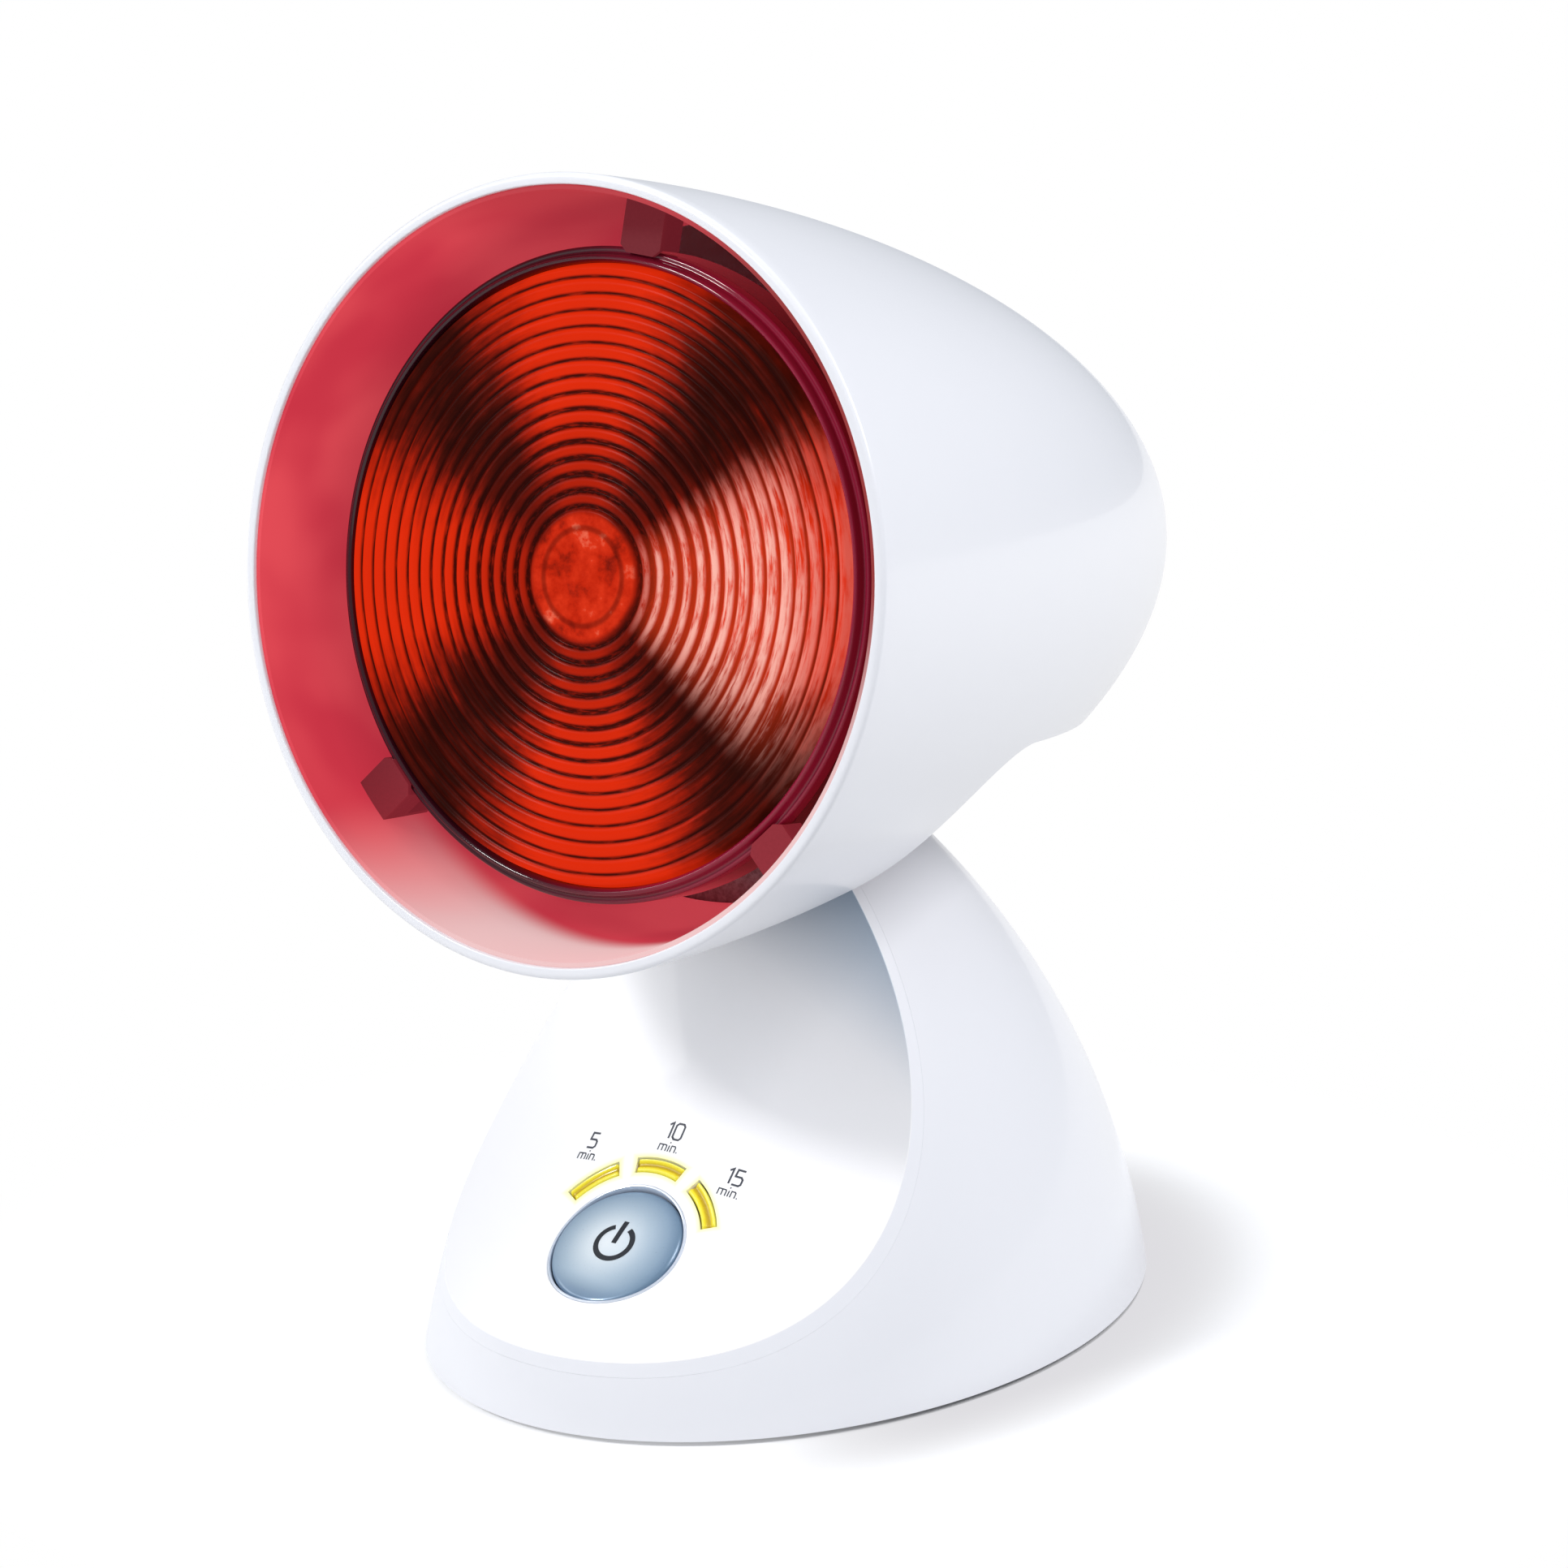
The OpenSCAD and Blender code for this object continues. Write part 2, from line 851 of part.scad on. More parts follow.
// Posts moulded on the inside of the shade that the chassis is screwed to
module chassis_posts() {
    post_height = 11;
    difference() {
        intersection() {
            in_rim()
                bullet(shade_wall / 2);
            in_hood()
                for (depth = chassis_boss_depths)
                    for (side = [-1, 1])
                        translate([side * (chassis_half(depth) - 5), depth - rim_forward, chassis_top + seat]) {
                            cylinder(r = 3.6, h = post_height, $fn = 40);
                            translate([side > 0 ? 0 : -16, -1.2, 0])
                                cube([16, 2.4, post_height]);
                        }
        }
        in_hood()
            for (depth = chassis_boss_depths)
                for (side = [-1, 1])
                    translate([side * (chassis_half(depth) - 5), depth - rim_forward, 0])
                        cylinder(r = 1.31, h = chassis_top + 9, $fn = 24);
    }
}

module heat_liner() {
    front = shade_wall + liner_gap;
    color([0.83, 0.84, 0.86])
        in_rim()
            intersection() {
                difference() {
                    bullet(front);
                    bullet(front + liner_thickness);
                }
                translate([0, 0, -liner_to])
                    cylinder(r = shade_radius + 5, h = liner_to - liner_from);
            }
}

// Steel floor of the shade: it follows the arch round the neck and carries the
// hinge yoke under it and the lamp socket on top of it.
module hood_chassis() {
    color([0.78, 0.79, 0.81])
        difference() {
            intersection() {
                in_rim()
                    bullet(shade_wall + 0.3);
                in_hood()
                    difference() {
                        arch_cut(chassis_gap + chassis_thickness);
                        arch_cut(chassis_gap);
                    }
            }
            in_hood() {
                for (depth = chassis_boss_depths)
                    for (side = [-1, 1])
                        translate([side * (chassis_half(depth) - 5), depth - rim_forward, 0])
                            cylinder(r = 1.5, h = 40, $fn = 24);
                for (p = yoke_screw_places)
                    translate([p[0], p[1], 0])
                        cylinder(r = 2.06, h = 40, $fn = 32);
                for (x = socket_screw_sides)
                    translate([x, socket_foot_at, 0])
                        cylinder(r = 1.56, h = 40, $fn = 24);
                // Rows of air slots on both sides of the neck
                for (side = [-1, 1])
                    for (i = [0:3])
                        translate([side * (30 - 4.5 * i), 30 + 3 * i, 0])
                            linear_extrude(height = 40)
                                slot(2.4, 14);
            }
        }
}

module chassis_screws() {
    color([0.72, 0.73, 0.75])
        in_hood()
            for (depth = chassis_boss_depths)
                for (side = [-1, 1])
                    translate([side * (chassis_half(depth) - 5), depth - rim_forward, chassis_bottom - seat])
                        rotate([180, 0, 0])
                            pan_screw(1.25, 9);
}

module hinge_yoke() {
    color([0.66, 0.67, 0.70])
        in_hood()
            difference() {
                union() {
                    translate([-ear_outer, -9, yoke_top - yoke_sheet])
                        cube([2 * ear_outer, 30, yoke_sheet]);
                    for (side = [-1, 1])
                        translate([side > 0 ? ear_inner : -ear_outer, 0, 0]) {
                            rotate([0, 90, 0])
                                cylinder(r = ear_radius, h = ear_thickness);
                            translate([0, -ear_radius, 0])
                                cube([ear_thickness, 2 * ear_radius, yoke_top - eps]);
                        }
                }
                rotate([0, 90, 0])
                    cylinder(r = axle_radius + running, h = 80, center = true, $fn = 48);
                for (p = yoke_screw_places)
                    translate([p[0], p[1], 0])
                        cylinder(r = 2.06, h = 40, $fn = 32);
            }
}

module yoke_screws() {
    color([0.72, 0.73, 0.75])
        in_hood()
            for (p = yoke_screw_places)
                translate([p[0], p[1], yoke_top - yoke_sheet - seat])
                    rotate([180, 0, 0])
                        difference() {
                            union() {
                                translate([0, 0, -8])
                                    cylinder(r = 2, h = 8, $fn = 32);
                                cylinder(r = 3.4, h = 1.4, $fn = 40);
                            }
                            translate([0, 0, 0.4])
                                cylinder(r = 1.3, h = 2, $fn = 6);
                        }
}

module yoke_nuts() {
    color([0.70, 0.71, 0.73])
        in_hood()
            for (p = yoke_screw_places)
                translate([p[0], p[1], chassis_top + seat])
                    difference() {
                        cylinder(r = 3.9, h = 2.4, $fn = 6);
                        translate([0, 0, -1])
                            cylinder(r = 2.06, h = 5, $fn = 32);
                    }
}

// ---------- lamp ----------

// Three sheet-metal clips: a foot along the liner, a leaf across the gap that hooks
// over the lamp's edge, and a flange folded back along each side of the leaf
module lamp_clips() {
    wall = shade_wall + liner_gap + liner_thickness + seat;
    color([0.72, 0.73, 0.75])
        in_rim()
            intersection() {
                bullet(wall);
                union() {
                    for (a = clip_angles)
                        rotate([0, 0, -a])
                            translate([0, 0, clip_gap - lamp_setback])
                                clip_leaf();
                    difference() {
                        for (a = clip_angles)
                            rotate([0, 0, -a])
                                translate([0, 0, clip_gap - lamp_setback])
                                    clip_block(clip_width / 2, clip_width, clip_foot);
                        bullet(wall + clip_sheet);
                    }
                }
            }
}

// The leaf, wide at the wall and narrow at the lamp, with its two flanges
module clip_leaf() {
    half = clip_width / 2;
    inner = lamp_radius + clip_gap;
    tip = lamp_radius - clip_hook;
    linear_extrude(height = clip_sheet)
        polygon([
            [-half, shade_radius], [half, shade_radius], [half, inner],
            [clip_tip / 2, tip], [-clip_tip / 2, tip], [-half, inner]
        ]);
    clip_block(half, clip_sheet, clip_flange);
    clip_block(-half + clip_sheet, clip_sheet, clip_flange);
}

// A block behind the leaf, out from the lamp, its right side at a distance
module clip_block(right, width, depth) {
    inner = lamp_radius + clip_gap;
    translate([right - width, inner, -depth])
        cube([width, shade_radius - inner, depth + eps]);
}

// Height of the lens's front, ahead of the lamp's front edge
function lens_face(r) = lens_step + lens_bulge * (1 - pow(r / lens_edge, 2));

module lens_ribs() {
    first = lens_edge - 0.4;
    polygon(concat(
        [[0, -lens_back], [lamp_radius, -lens_back], [lamp_radius, -0.8], [lamp_radius - 0.8, 0], [lens_edge, 0],
            [lens_edge, lens_step]],
        [for (i = [0:rib_count - 1])
            for (k = [0:3])
                let (r = first - (i + k / 4) * rib_pitch)
                [r, lens_face(r) - rib_height * [1, 0.3, 0, 0.3][k]]
        ],
        [[first - rib_count * rib_pitch, lens_face(first - rib_count * rib_pitch) - rib_height],
            [disc_radius - 1.2, lens_face(disc_radius) - 0.2],
            [disc_radius / 2, lens_face(0) + 0.1],
            [0, lens_face(0) + 0.3]]
    ));
}

module lamp_lens() {
    color([0.80, 0.10, 0.04])
        in_lamp()
            rotate([0, 180, 0])
                rotate_extrude()
                    lens_ribs();
}

function bowl_points(inset) = [
    for (i = [0:14])
        let (d = bowl_from + (neck_from - bowl_from) * i / 14)
        [bowl_at(d) - inset, d]
];

module lamp_reflector() {
    color([0.55, 0.06, 0.05])
        in_lamp()
            rotate_extrude()
                polygon(concat(
                    [[lamp_radius - glass - 1, lens_back + 0.05], [lamp_radius, lens_back + 0.05],
                        [lamp_radius, bowl_from - 1]],
                    bowl_points(0),
                    [[lamp_neck, neck_to - 5], [lamp_neck - 2.5, neck_to], [0, neck_to],
                        [0, neck_to - glass], [lamp_neck - 2.5 - glass, neck_to - glass],
                        [lamp_neck - glass, neck_to - 6]],
                    [for (i = [14:-1:0])
                        let (p = bowl_points(glass + 0.5)[i])
                        [p[0], min(p[1], bowl_depth)]]
                ));
}

module lamp_filament() {
    wire = 1;
    color([0.85, 0.80, 0.70])
        in_lamp() {
            translate([0, 0, filament_at])
                rotate([0, 90, 0])
                    rotate_extrude($fn = 48)
                        translate([filament_radius, 0])
                            circle(r = wire, $fn = 24);
            for (side = [-1, 1])
                translate([side * (filament_radius - wire), 0, filament_at + filament_radius])
                    cylinder(r = 0.8 * wire, h = stem_from + 2 - filament_at - filament_radius, $fn = 24);
            translate([0, 0, filament_at + filament_radius - 2 * wire])
                rotate([0, 90, 0])
                    cylinder(r = 2.4 * wire, h = 2 * filament_radius, center = true, $fn = 32);
            translate([0, 0, stem_from])
                cylinder(r = stem_radius, h = neck_to - glass - seat - stem_from, $fn = 48);
        }
}

// Screw cap: a cup with a rolled thread, open towards the glass
module lamp_cap() {
    wall = 1.2;
    thread = 0.9;
    color([0.80, 0.68, 0.38])
        in_lamp()
            rotate_extrude()
                polygon(concat(
                    [[lamp_neck - 2.9 - wall, neck_to + seat], [lamp_neck - 2.9, neck_to + seat],
                        [lamp_neck - 3.5, skirt_to], [cap_radius, skirt_to + 2]],
                    [for (i = [0:5])
                        for (k = [0, 1])
                            [cap_radius - thread * (1 - k), skirt_to + 3.6 + (i * 2 + k) * 1.8]],
                    [[cap_radius - thread, shell_to + 1], [0, shell_to + 1], [0, shell_to + 1 - wall],
                        [cap_radius - thread - wall, shell_to + 1 - wall],
                        [cap_radius - thread - wall, skirt_to + 2],
                        [lamp_neck - 3.5 - wall, skirt_to - 0.6]]
                ));
}

module lamp_contact() {
    color([0.12, 0.12, 0.14])
        in_lamp()
            rotate_extrude()
                polygon([
                    [0, shell_to + 1 + seat],
                    [cap_radius - 1.4, shell_to + 1 + seat],
                    [5, tip_to - 1.2],
                    [4.6, tip_to],
                    [0, tip_to]
                ]);
}

module socket_body() {
    room = cap_radius + 1.2;
    color([0.93, 0.91, 0.86])
        in_lamp()
            difference() {
                rotate_extrude()
                    polygon([
                        [0, socket_to], [socket_radius - 3, socket_to], [socket_radius - 2, socket_to - 6],
                        [socket_radius, socket_to - 16], [socket_radius, socket_from + 2],
                        [socket_radius - 2, socket_from], [0, socket_from]
                    ]);
                translate([0, 0, socket_from - 1])
                    cylinder(r = room, h = tip_to + 6 - socket_from);
                for (side = [-1, 1])
                    translate([0, side * 9, socket_to - 7])
                        cylinder(r = 1.56, h = 10, $fn = 24);
            }
}

module socket_contact() {
    room = cap_radius + 1.2;
    color([0.82, 0.66, 0.30])
        in_lamp() {
            translate([0, 0, socket_from + 2])
                difference() {
                    cylinder(r = room - seat, h = shell_to - socket_from - 2);
                    translate([0, 0, -1])
                        cylinder(r = cap_radius + 0.4, h = 60);
                }
            translate([0, 0, tip_to + seat]) {
                translate([-3, -9, 1.2])
                    cube([6, 18, 0.8]);
                translate([-3, -3, 0])
                    cube([6, 6, 1.4]);
                translate([-3, 6, 0.4])
                    cube([6, 3, 4.4]);
            }
        }
}

module socket_bracket() {
    plate_at = lamp_setback + socket_to + seat - rim_forward;
    color([0.66, 0.67, 0.70])
        in_hood()
            difference() {
                union() {
                    translate([-12, plate_at, chassis_top + seat])
                        cube([24, 2, lamp_rise + 15 - chassis_top - seat]);
                    translate([-12, plate_at - 16, chassis_top + seat])
                        cube([24, 17, 2]);
                }
                for (side = [-1, 1])
                    translate([0, plate_at - 5, lamp_rise + side * 9])
                        rotate([-90, 0, 0])
                            cylinder(r = 1.56, h = 12, $fn = 24);
                translate([0, plate_at - 5, lamp_rise])
                    rotate([-90, 0, 0])
                        cylinder(r = 4.5, h = 12, $fn = 40);
                for (x = socket_screw_sides)
                    translate([x, socket_foot_at, chassis_top - 1])
                        cylinder(r = 1.56, h = 6, $fn = 24);
            }
}

module socket_screws() {
    plate_at = lamp_setback + socket_to + seat - rim_forward;
    color([0.72, 0.73, 0.75])
        in_hood() {
            for (side = [-1, 1])
                translate([0, plate_at + 2 + seat, lamp_rise + side * 9])
                    rotate([-90, 0, 0])
                        pan_screw(1.5, 7.5);
            for (x = socket_screw_sides)
                translate([x, socket_foot_at, chassis_bottom - seat])
                    rotate([180, 0, 0])
                        pan_screw(1.5, 4.6);
        }
}

centred() base_shell();
centred() control_panel();
centred() base_plate();
centred() foot_pads();
centred() base_screws();
centred() ballast_weight();
centred() ballast_screws();
centred() cord_gland();
centred() button_frame();
centred() light_bar_5();
centred() light_bar_10();
centred() light_bar_15();
centred() control_board();
centred() control_screws();
centred() timer_leds();
centred() timer_chip();
centred() switch_body();
centred() power_board();
centred() power_board_screws();
centred() transformer();
centred() relay();
centred() capacitor();
centred() terminal_block();
centred() hinge_axle();
centred() hinge_nut();
centred() friction_washers();
centred() spring_washer();
centred() power_button();
centred() switch_plunger();
centred() shade_shell();
centred() heat_liner();
centred() hood_chassis();
centred() chassis_screws();
centred() hinge_yoke();
centred() yoke_screws();
centred() yoke_nuts();
centred() lamp_clips();
centred() lamp_lens();
centred() lamp_reflector();
centred() lamp_filament();
centred() lamp_cap();
centred() lamp_contact();
centred() socket_body();
centred() socket_contact();
centred() socket_bracket();
centred() socket_screws();
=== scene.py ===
# %% [markdown]
# # A table-top infrared heat lamp
# The lamp is a glossy white dome with a timer panel, and a round shade that tilts on
# a bolt in the dome's neck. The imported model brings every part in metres, with its
# place in its mesh, so this lesson only has to dress what it finds.

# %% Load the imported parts
import json
import math

import bmesh
import bpy
from mathutils import Matrix, Vector

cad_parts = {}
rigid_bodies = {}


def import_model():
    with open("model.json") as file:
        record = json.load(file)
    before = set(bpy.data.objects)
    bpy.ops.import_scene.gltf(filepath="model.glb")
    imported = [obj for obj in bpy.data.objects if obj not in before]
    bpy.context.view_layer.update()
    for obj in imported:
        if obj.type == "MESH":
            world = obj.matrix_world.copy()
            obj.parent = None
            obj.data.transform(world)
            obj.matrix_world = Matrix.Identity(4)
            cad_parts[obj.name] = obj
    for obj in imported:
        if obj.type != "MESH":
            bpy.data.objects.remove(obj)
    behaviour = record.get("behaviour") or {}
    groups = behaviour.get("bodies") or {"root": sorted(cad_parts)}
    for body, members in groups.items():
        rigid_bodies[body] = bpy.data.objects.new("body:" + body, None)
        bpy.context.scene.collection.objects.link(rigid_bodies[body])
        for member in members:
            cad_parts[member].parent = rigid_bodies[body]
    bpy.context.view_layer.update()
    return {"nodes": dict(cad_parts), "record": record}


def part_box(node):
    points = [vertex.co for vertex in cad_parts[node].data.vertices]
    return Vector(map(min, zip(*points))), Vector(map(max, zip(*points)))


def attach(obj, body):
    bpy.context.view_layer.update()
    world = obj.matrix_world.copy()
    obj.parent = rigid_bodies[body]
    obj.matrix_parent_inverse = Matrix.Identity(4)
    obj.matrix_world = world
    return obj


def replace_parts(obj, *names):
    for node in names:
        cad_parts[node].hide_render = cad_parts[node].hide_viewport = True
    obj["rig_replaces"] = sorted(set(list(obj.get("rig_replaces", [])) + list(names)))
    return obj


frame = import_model()
scene = bpy.context.scene
nodes = frame["nodes"]

# %% [markdown]
# Five frames carry all the shapes. The base stands at its own middle. The panel leans
# back from the button. The hood turns about the bolt and rests tilted up a little. The
# rim frame has its middle in the shade's front edge, and its Z axis points out of it.
# The lamp frame lies straight behind the rim's. The sizes that place them are named
# here, in metres by the factor MM, and the angles are in degrees.

# %% Frames and sizes
MM = 0.001
HINGE_SETBACK = 4.0 * MM
BUTTON_FORWARD = 60.7 * MM
BUTTON_LIFT = 28 * MM
PANEL_SLOPE = 54.6
HOOD_TILT = 7.4
RIM_FORWARD = 90 * MM
RIM_LIFT = 45.7 * MM
LAMP_SETBACK = 14.6 * MM
hinge_low, hinge_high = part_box("friction_washers")
hinge = (hinge_low + hinge_high) / 2
base_middle = hinge.y - HINGE_SETBACK


def turned(degrees, axis="X"):
    return Matrix.Rotation(math.radians(degrees), 4, axis)


base_place = Matrix.Translation((0, base_middle, 0))
panel_place = base_place @ Matrix.Translation((0, -BUTTON_FORWARD, BUTTON_LIFT)) @ turned(90 - PANEL_SLOPE)
hood_place = Matrix.Translation(hinge) @ turned(-HOOD_TILT)
rim_place = hood_place @ Matrix.Translation((0, -RIM_FORWARD, RIM_LIFT)) @ turned(90)
lamp_place = rim_place @ Matrix.Translation((0, 0, -LAMP_SETBACK))
print("tilt bolt at", [round(v, 4) for v in hinge], "base middle at y", round(base_middle, 4))

# %% [markdown]
# The camera stands where the photograph was taken: a long lens, a little above the lamp
# and to the right of its face. A long lens keeps the shade's ellipses nearly true.

# %% Camera
CAMERA_TURN = 34.889
CAMERA_RISE = 13.074
CAMERA_X = 0.4493
CAMERA_FORWARD = 0.64865
CAMERA_HEIGHT = 0.29077
FOCAL_IN_PIXELS = 5000
FRAME_PIXELS = 1932
SENSOR_WIDTH = 36
turn = math.radians(CAMERA_TURN)
rise = math.radians(CAMERA_RISE)
toward = Vector((math.sin(turn) * math.cos(rise), -math.cos(turn) * math.cos(rise), math.sin(rise)))
right = Vector((math.cos(turn), math.sin(turn), 0))
up = toward.cross(right)
camera_data = bpy.data.cameras.new("camera")
camera_data.sensor_width = SENSOR_WIDTH
camera_data.lens = FOCAL_IN_PIXELS / FRAME_PIXELS * SENSOR_WIDTH
camera = bpy.data.objects.new("camera", camera_data)
view_axes = Matrix((right, up, toward)).transposed().to_4x4()
camera_spot = (CAMERA_X, base_middle - CAMERA_FORWARD, CAMERA_HEIGHT)
camera.matrix_world = Matrix.Translation(camera_spot) @ view_axes
scene.collection.objects.link(camera)
scene.camera = camera
print("lens", round(camera_data.lens, 2), "mm")

# %% [markdown]
# A material is a graph of nodes. Writing it as Python sums is easier to read than
# placing boxes, so one small class stands for an output socket and turns +, -, * and /
# into Math nodes. A second class owns the graph and makes any other node, and a third
# adds what only a material has.

# %% Graph helpers
class Wire:
    """One output socket, used like a number in a sum."""

    def __init__(self, graph, socket):
        self.graph = graph
        self.socket = socket

    def __add__(self, other):
        return self.graph.maths("ADD", self, other)

    def __radd__(self, other):
        return self.graph.maths("ADD", other, self)

    def __sub__(self, other):
        return self.graph.maths("SUBTRACT", self, other)

    def __rsub__(self, other):
        return self.graph.maths("SUBTRACT", other, self)

    def __mul__(self, other):
        return self.graph.maths("MULTIPLY", self, other)

    def __rmul__(self, other):
        return self.graph.maths("MULTIPLY", other, self)

    def __truediv__(self, other):
        return self.graph.maths("DIVIDE", self, other)


class Graph:
    """A node tree that adds nodes from a type, its settings and its socket values."""

    def __init__(self, tree):
        self.tree = tree

    def feed(self, socket, value):
        """Links a wire, or a node's first output, to the socket, or sets a plain value."""
        if isinstance(value, bpy.types.Node):
            value = self.wire(value)
        if isinstance(value, Wire):
            self.tree.links.new(value.socket, socket)
        elif socket.type == "RGBA":
            socket.default_value = (*value, 1)
        else:
            socket.default_value = value

    def node(self, kind, settings=None, inputs=None):
        made = self.tree.nodes.new(kind)
        for name, value in (settings or {}).items():
            setattr(made, name, value)
        for key, value in (inputs or {}).items():
            self.feed(made.inputs[key], value)
        return made

    def wire(self, node, output=0):
        return Wire(self, node.outputs[output])

    def maths(self, operation, *values):
        return self.wire(self.node("ShaderNodeMath", {"operation": operation}, dict(enumerate(values))))

    def largest(self, first, *others):
        for other in others:
            first = self.maths("MAXIMUM", first, other)
        return first

    def distance(self, x, y):
        return self.maths("SQRT", x * x + y * y)

    def step(self, value, start, end):
        """0 before start, 1 after end, smooth between."""
        inputs = {"Value": value, "From Min": start, "From Max": end}
        settings = {"interpolation_type": "SMOOTHSTEP"}
        return self.wire(self.node("ShaderNodeMapRange", settings, inputs), "Result")

    def split(self, vector):
        made = self.node("ShaderNodeSeparateXYZ", inputs={0: vector})
        return [self.wire(made, axis) for axis in range(3)]

    def combine(self, x, y, z):
        return self.wire(self.node("ShaderNodeCombineXYZ", inputs={0: x, 1: y, 2: z}))

    def rays(self, *kinds):
        """1 for a light ray of any of these kinds, 0 for all others."""
        path = self.node("ShaderNodeLightPath")
        return self.largest(*[self.wire(path, kind) for kind in kinds])


class Finish(Graph):
    """A material whose Principled shader takes numbers, colours or wires."""

    def __init__(self, name):
        self.material = bpy.data.materials.new(name)
        self.material.use_nodes = True
        super().__init__(self.material.node_tree)
        self.shader = self.tree.nodes["Principled BSDF"]
        self.output = self.tree.nodes["Material Output"]

    def set(self, **sockets):
        for name, value in sockets.items():
            self.feed(self.shader.inputs[name.replace("_", " ")], value)

    def place(self, matrix):
        """Where a point of the object lies in one of the frames, in millimetres."""
        inside = matrix.inverted()
        coordinates = self.wire(self.node("ShaderNodeTexCoord"), "Object")
        inputs = {
            "Vector": coordinates,
            "Location": inside.to_translation() * 1000,
            "Rotation": inside.to_euler(),
            "Scale": (1000, 1000, 1000),
        }
        return self.wire(self.node("ShaderNodeMapping", {"vector_type": "POINT"}, inputs))

    def noise(self, vector, scale, detail=3, roughness=0.5):
        inputs = {"Vector": vector, "Scale": scale, "Detail": detail, "Roughness": roughness}
        return self.wire(self.node("ShaderNodeTexNoise", inputs=inputs))

    def mix(self, factor, first, second):
        """first where the factor is 0, second where it is 1, as colours."""
        made = self.node("ShaderNodeMix", {"data_type": "RGBA"}, {0: factor, 6: first, 7: second})
        return self.wire(made, 2)

    def ramp(self, value, stops):
        """A row of colours, each with its position from 0 to 1."""
        made = self.node("ShaderNodeValToRGB", inputs={"Fac": value})
        elements = made.color_ramp.elements
        while len(elements) < len(stops):
            elements.new(0.5)
        for element, (position, tone) in zip(elements, stops):
            element.position = position
            element.color = (*tone, 1)
        return self.wire(made, "Color")

    def bump(self, height, distance):
        inputs = {"Height": height, "Distance": distance, "Strength": 1.0}
        return self.wire(self.node("ShaderNodeBump", inputs=inputs), "Normal")


def colour(red, green, blue):
    """A colour as it looks on screen, 0 to 255, turned into the light it stands for."""
    def light(v):
        v = v / 255
        return v / 12.92 if v <= 0.04045 else ((v + 0.055) / 1.055) ** 2.4
    return (light(red), light(green), light(blue))


print("graph helpers ready")

# %% [markdown]
# White plastic is never one flat white. A moulded shell has a faint cool tone, a very
# fine ripple that breaks up its reflections, and a clear gloss. The ripple goes in as a
# bump, and the tone and roughness wander a little with a wide noise.

# %% White plastics
def white_plastic(name, place, tone, other_tone, rough, ripple):
    """Returns the finish, its point in the frame and its tone, for what lies on top."""
    finish = Finish(name)
    spot = finish.place(place)
    wander = finish.noise(spot, 0.012, 1)
    fine = finish.noise(spot, 0.9, 4, 0.6)
    white = finish.mix(wander, tone, other_tone)
    finish.set(
        Base_Color=white,
        Roughness=wander * 0.04 + (rough - 0.02),
        Normal=finish.bump(fine, ripple * MM),
        IOR=1.49,
        Coat_Weight=0.35,
        Coat_Roughness=0.06,
    )
    return finish, spot, white


SHELL_TONE = colour(243, 244, 249)
shell_white = white_plastic(
    "shell white plastic", base_place, SHELL_TONE, colour(241, 242, 247), 0.30, 0.006,
)[0]
print("made", shell_white.material.name)

# %% [markdown]
# Shapes turned about an axis are made as a grid: rows go along the profile and columns
# go round. The last row can close to a single point. Boolean cuts are then taken with
# the exact solver and written into the mesh at once, and faces shade smooth except at
# edges sharper than a set angle.

# %% Mesh helpers
def full_turn(columns):
    """Even angles round a full turn."""
    return [2 * math.pi * j / columns for j in range(columns)]


def polar(radius, angle):
    return radius * math.cos(angle), radius * math.sin(angle)


def new_piece(name, points, faces, place=None):
    mesh = bpy.data.meshes.new(name)
    mesh.from_pydata([tuple(p) for p in points], [], faces)
    if place is not None:
        mesh.transform(place)
    piece = bpy.data.objects.new(name, mesh)
    scene.collection.objects.link(piece)
    return piece


def tidy(piece, sharp=32):
    """Merges doubles, turns faces outwards and shades smooth up to the sharp angle."""
    work = bmesh.new()
    work.from_mesh(piece.data)
    bmesh.ops.remove_doubles(work, verts=work.verts, dist=1e-7)
    bmesh.ops.recalc_face_normals(work, faces=work.faces)
    work.to_mesh(piece.data)
    work.free()
    piece.data.shade_smooth()
    piece.data.set_sharp_from_angle(angle=math.radians(sharp))
    return piece


def turned_grid(name, rows, place, first_point=None, last_point=None, closed=False):
    """Rows are rings of points; the ends may close to a point, or the first row may
    follow the last where the profile is a closed loop."""
    ring = len(rows[0])
    points = [p for row in rows for p in row]
    faces = []
    count = len(rows)
    for i in range(count if closed else count - 1):
        a = i * ring
        b = ((i + 1) % count) * ring
        for j in range(ring):
            k = (j + 1) % ring
            faces.append((a + j, a + k, b + k, b + j))
    if first_point is not None:
        points.append(first_point)
        faces += [(len(points) - 1, (j + 1) % ring, j) for j in range(ring)]
    if last_point is not None:
        points.append(last_point)
        last = (count - 1) * ring
        faces += [(len(points) - 1, last + j, last + (j + 1) % ring) for j in range(ring)]
    return tidy(new_piece(name, points, faces, place))


def turn_profile(name, profile, place, columns, ends=()):
    """A line of radii and heights in millimetres, turned. It closes on itself, or in
    a point at each of two heights."""
    rows = [[Vector((*polar(r, a), z)) * MM for a in full_turn(columns)] for r, z in profile]
    points = [Vector((0, 0, z)) * MM for z in ends]
    return turned_grid(name, rows, place, *points, closed=not ends)


def settle(piece):
    """Writes the piece's modifiers into its mesh."""
    graph = bpy.context.evaluated_depsgraph_get()
    result = bpy.data.meshes.new_from_object(piece.evaluated_get(graph))
    piece.modifiers.clear()
    old = piece.data
    piece.data = result
    bpy.data.meshes.remove(old)


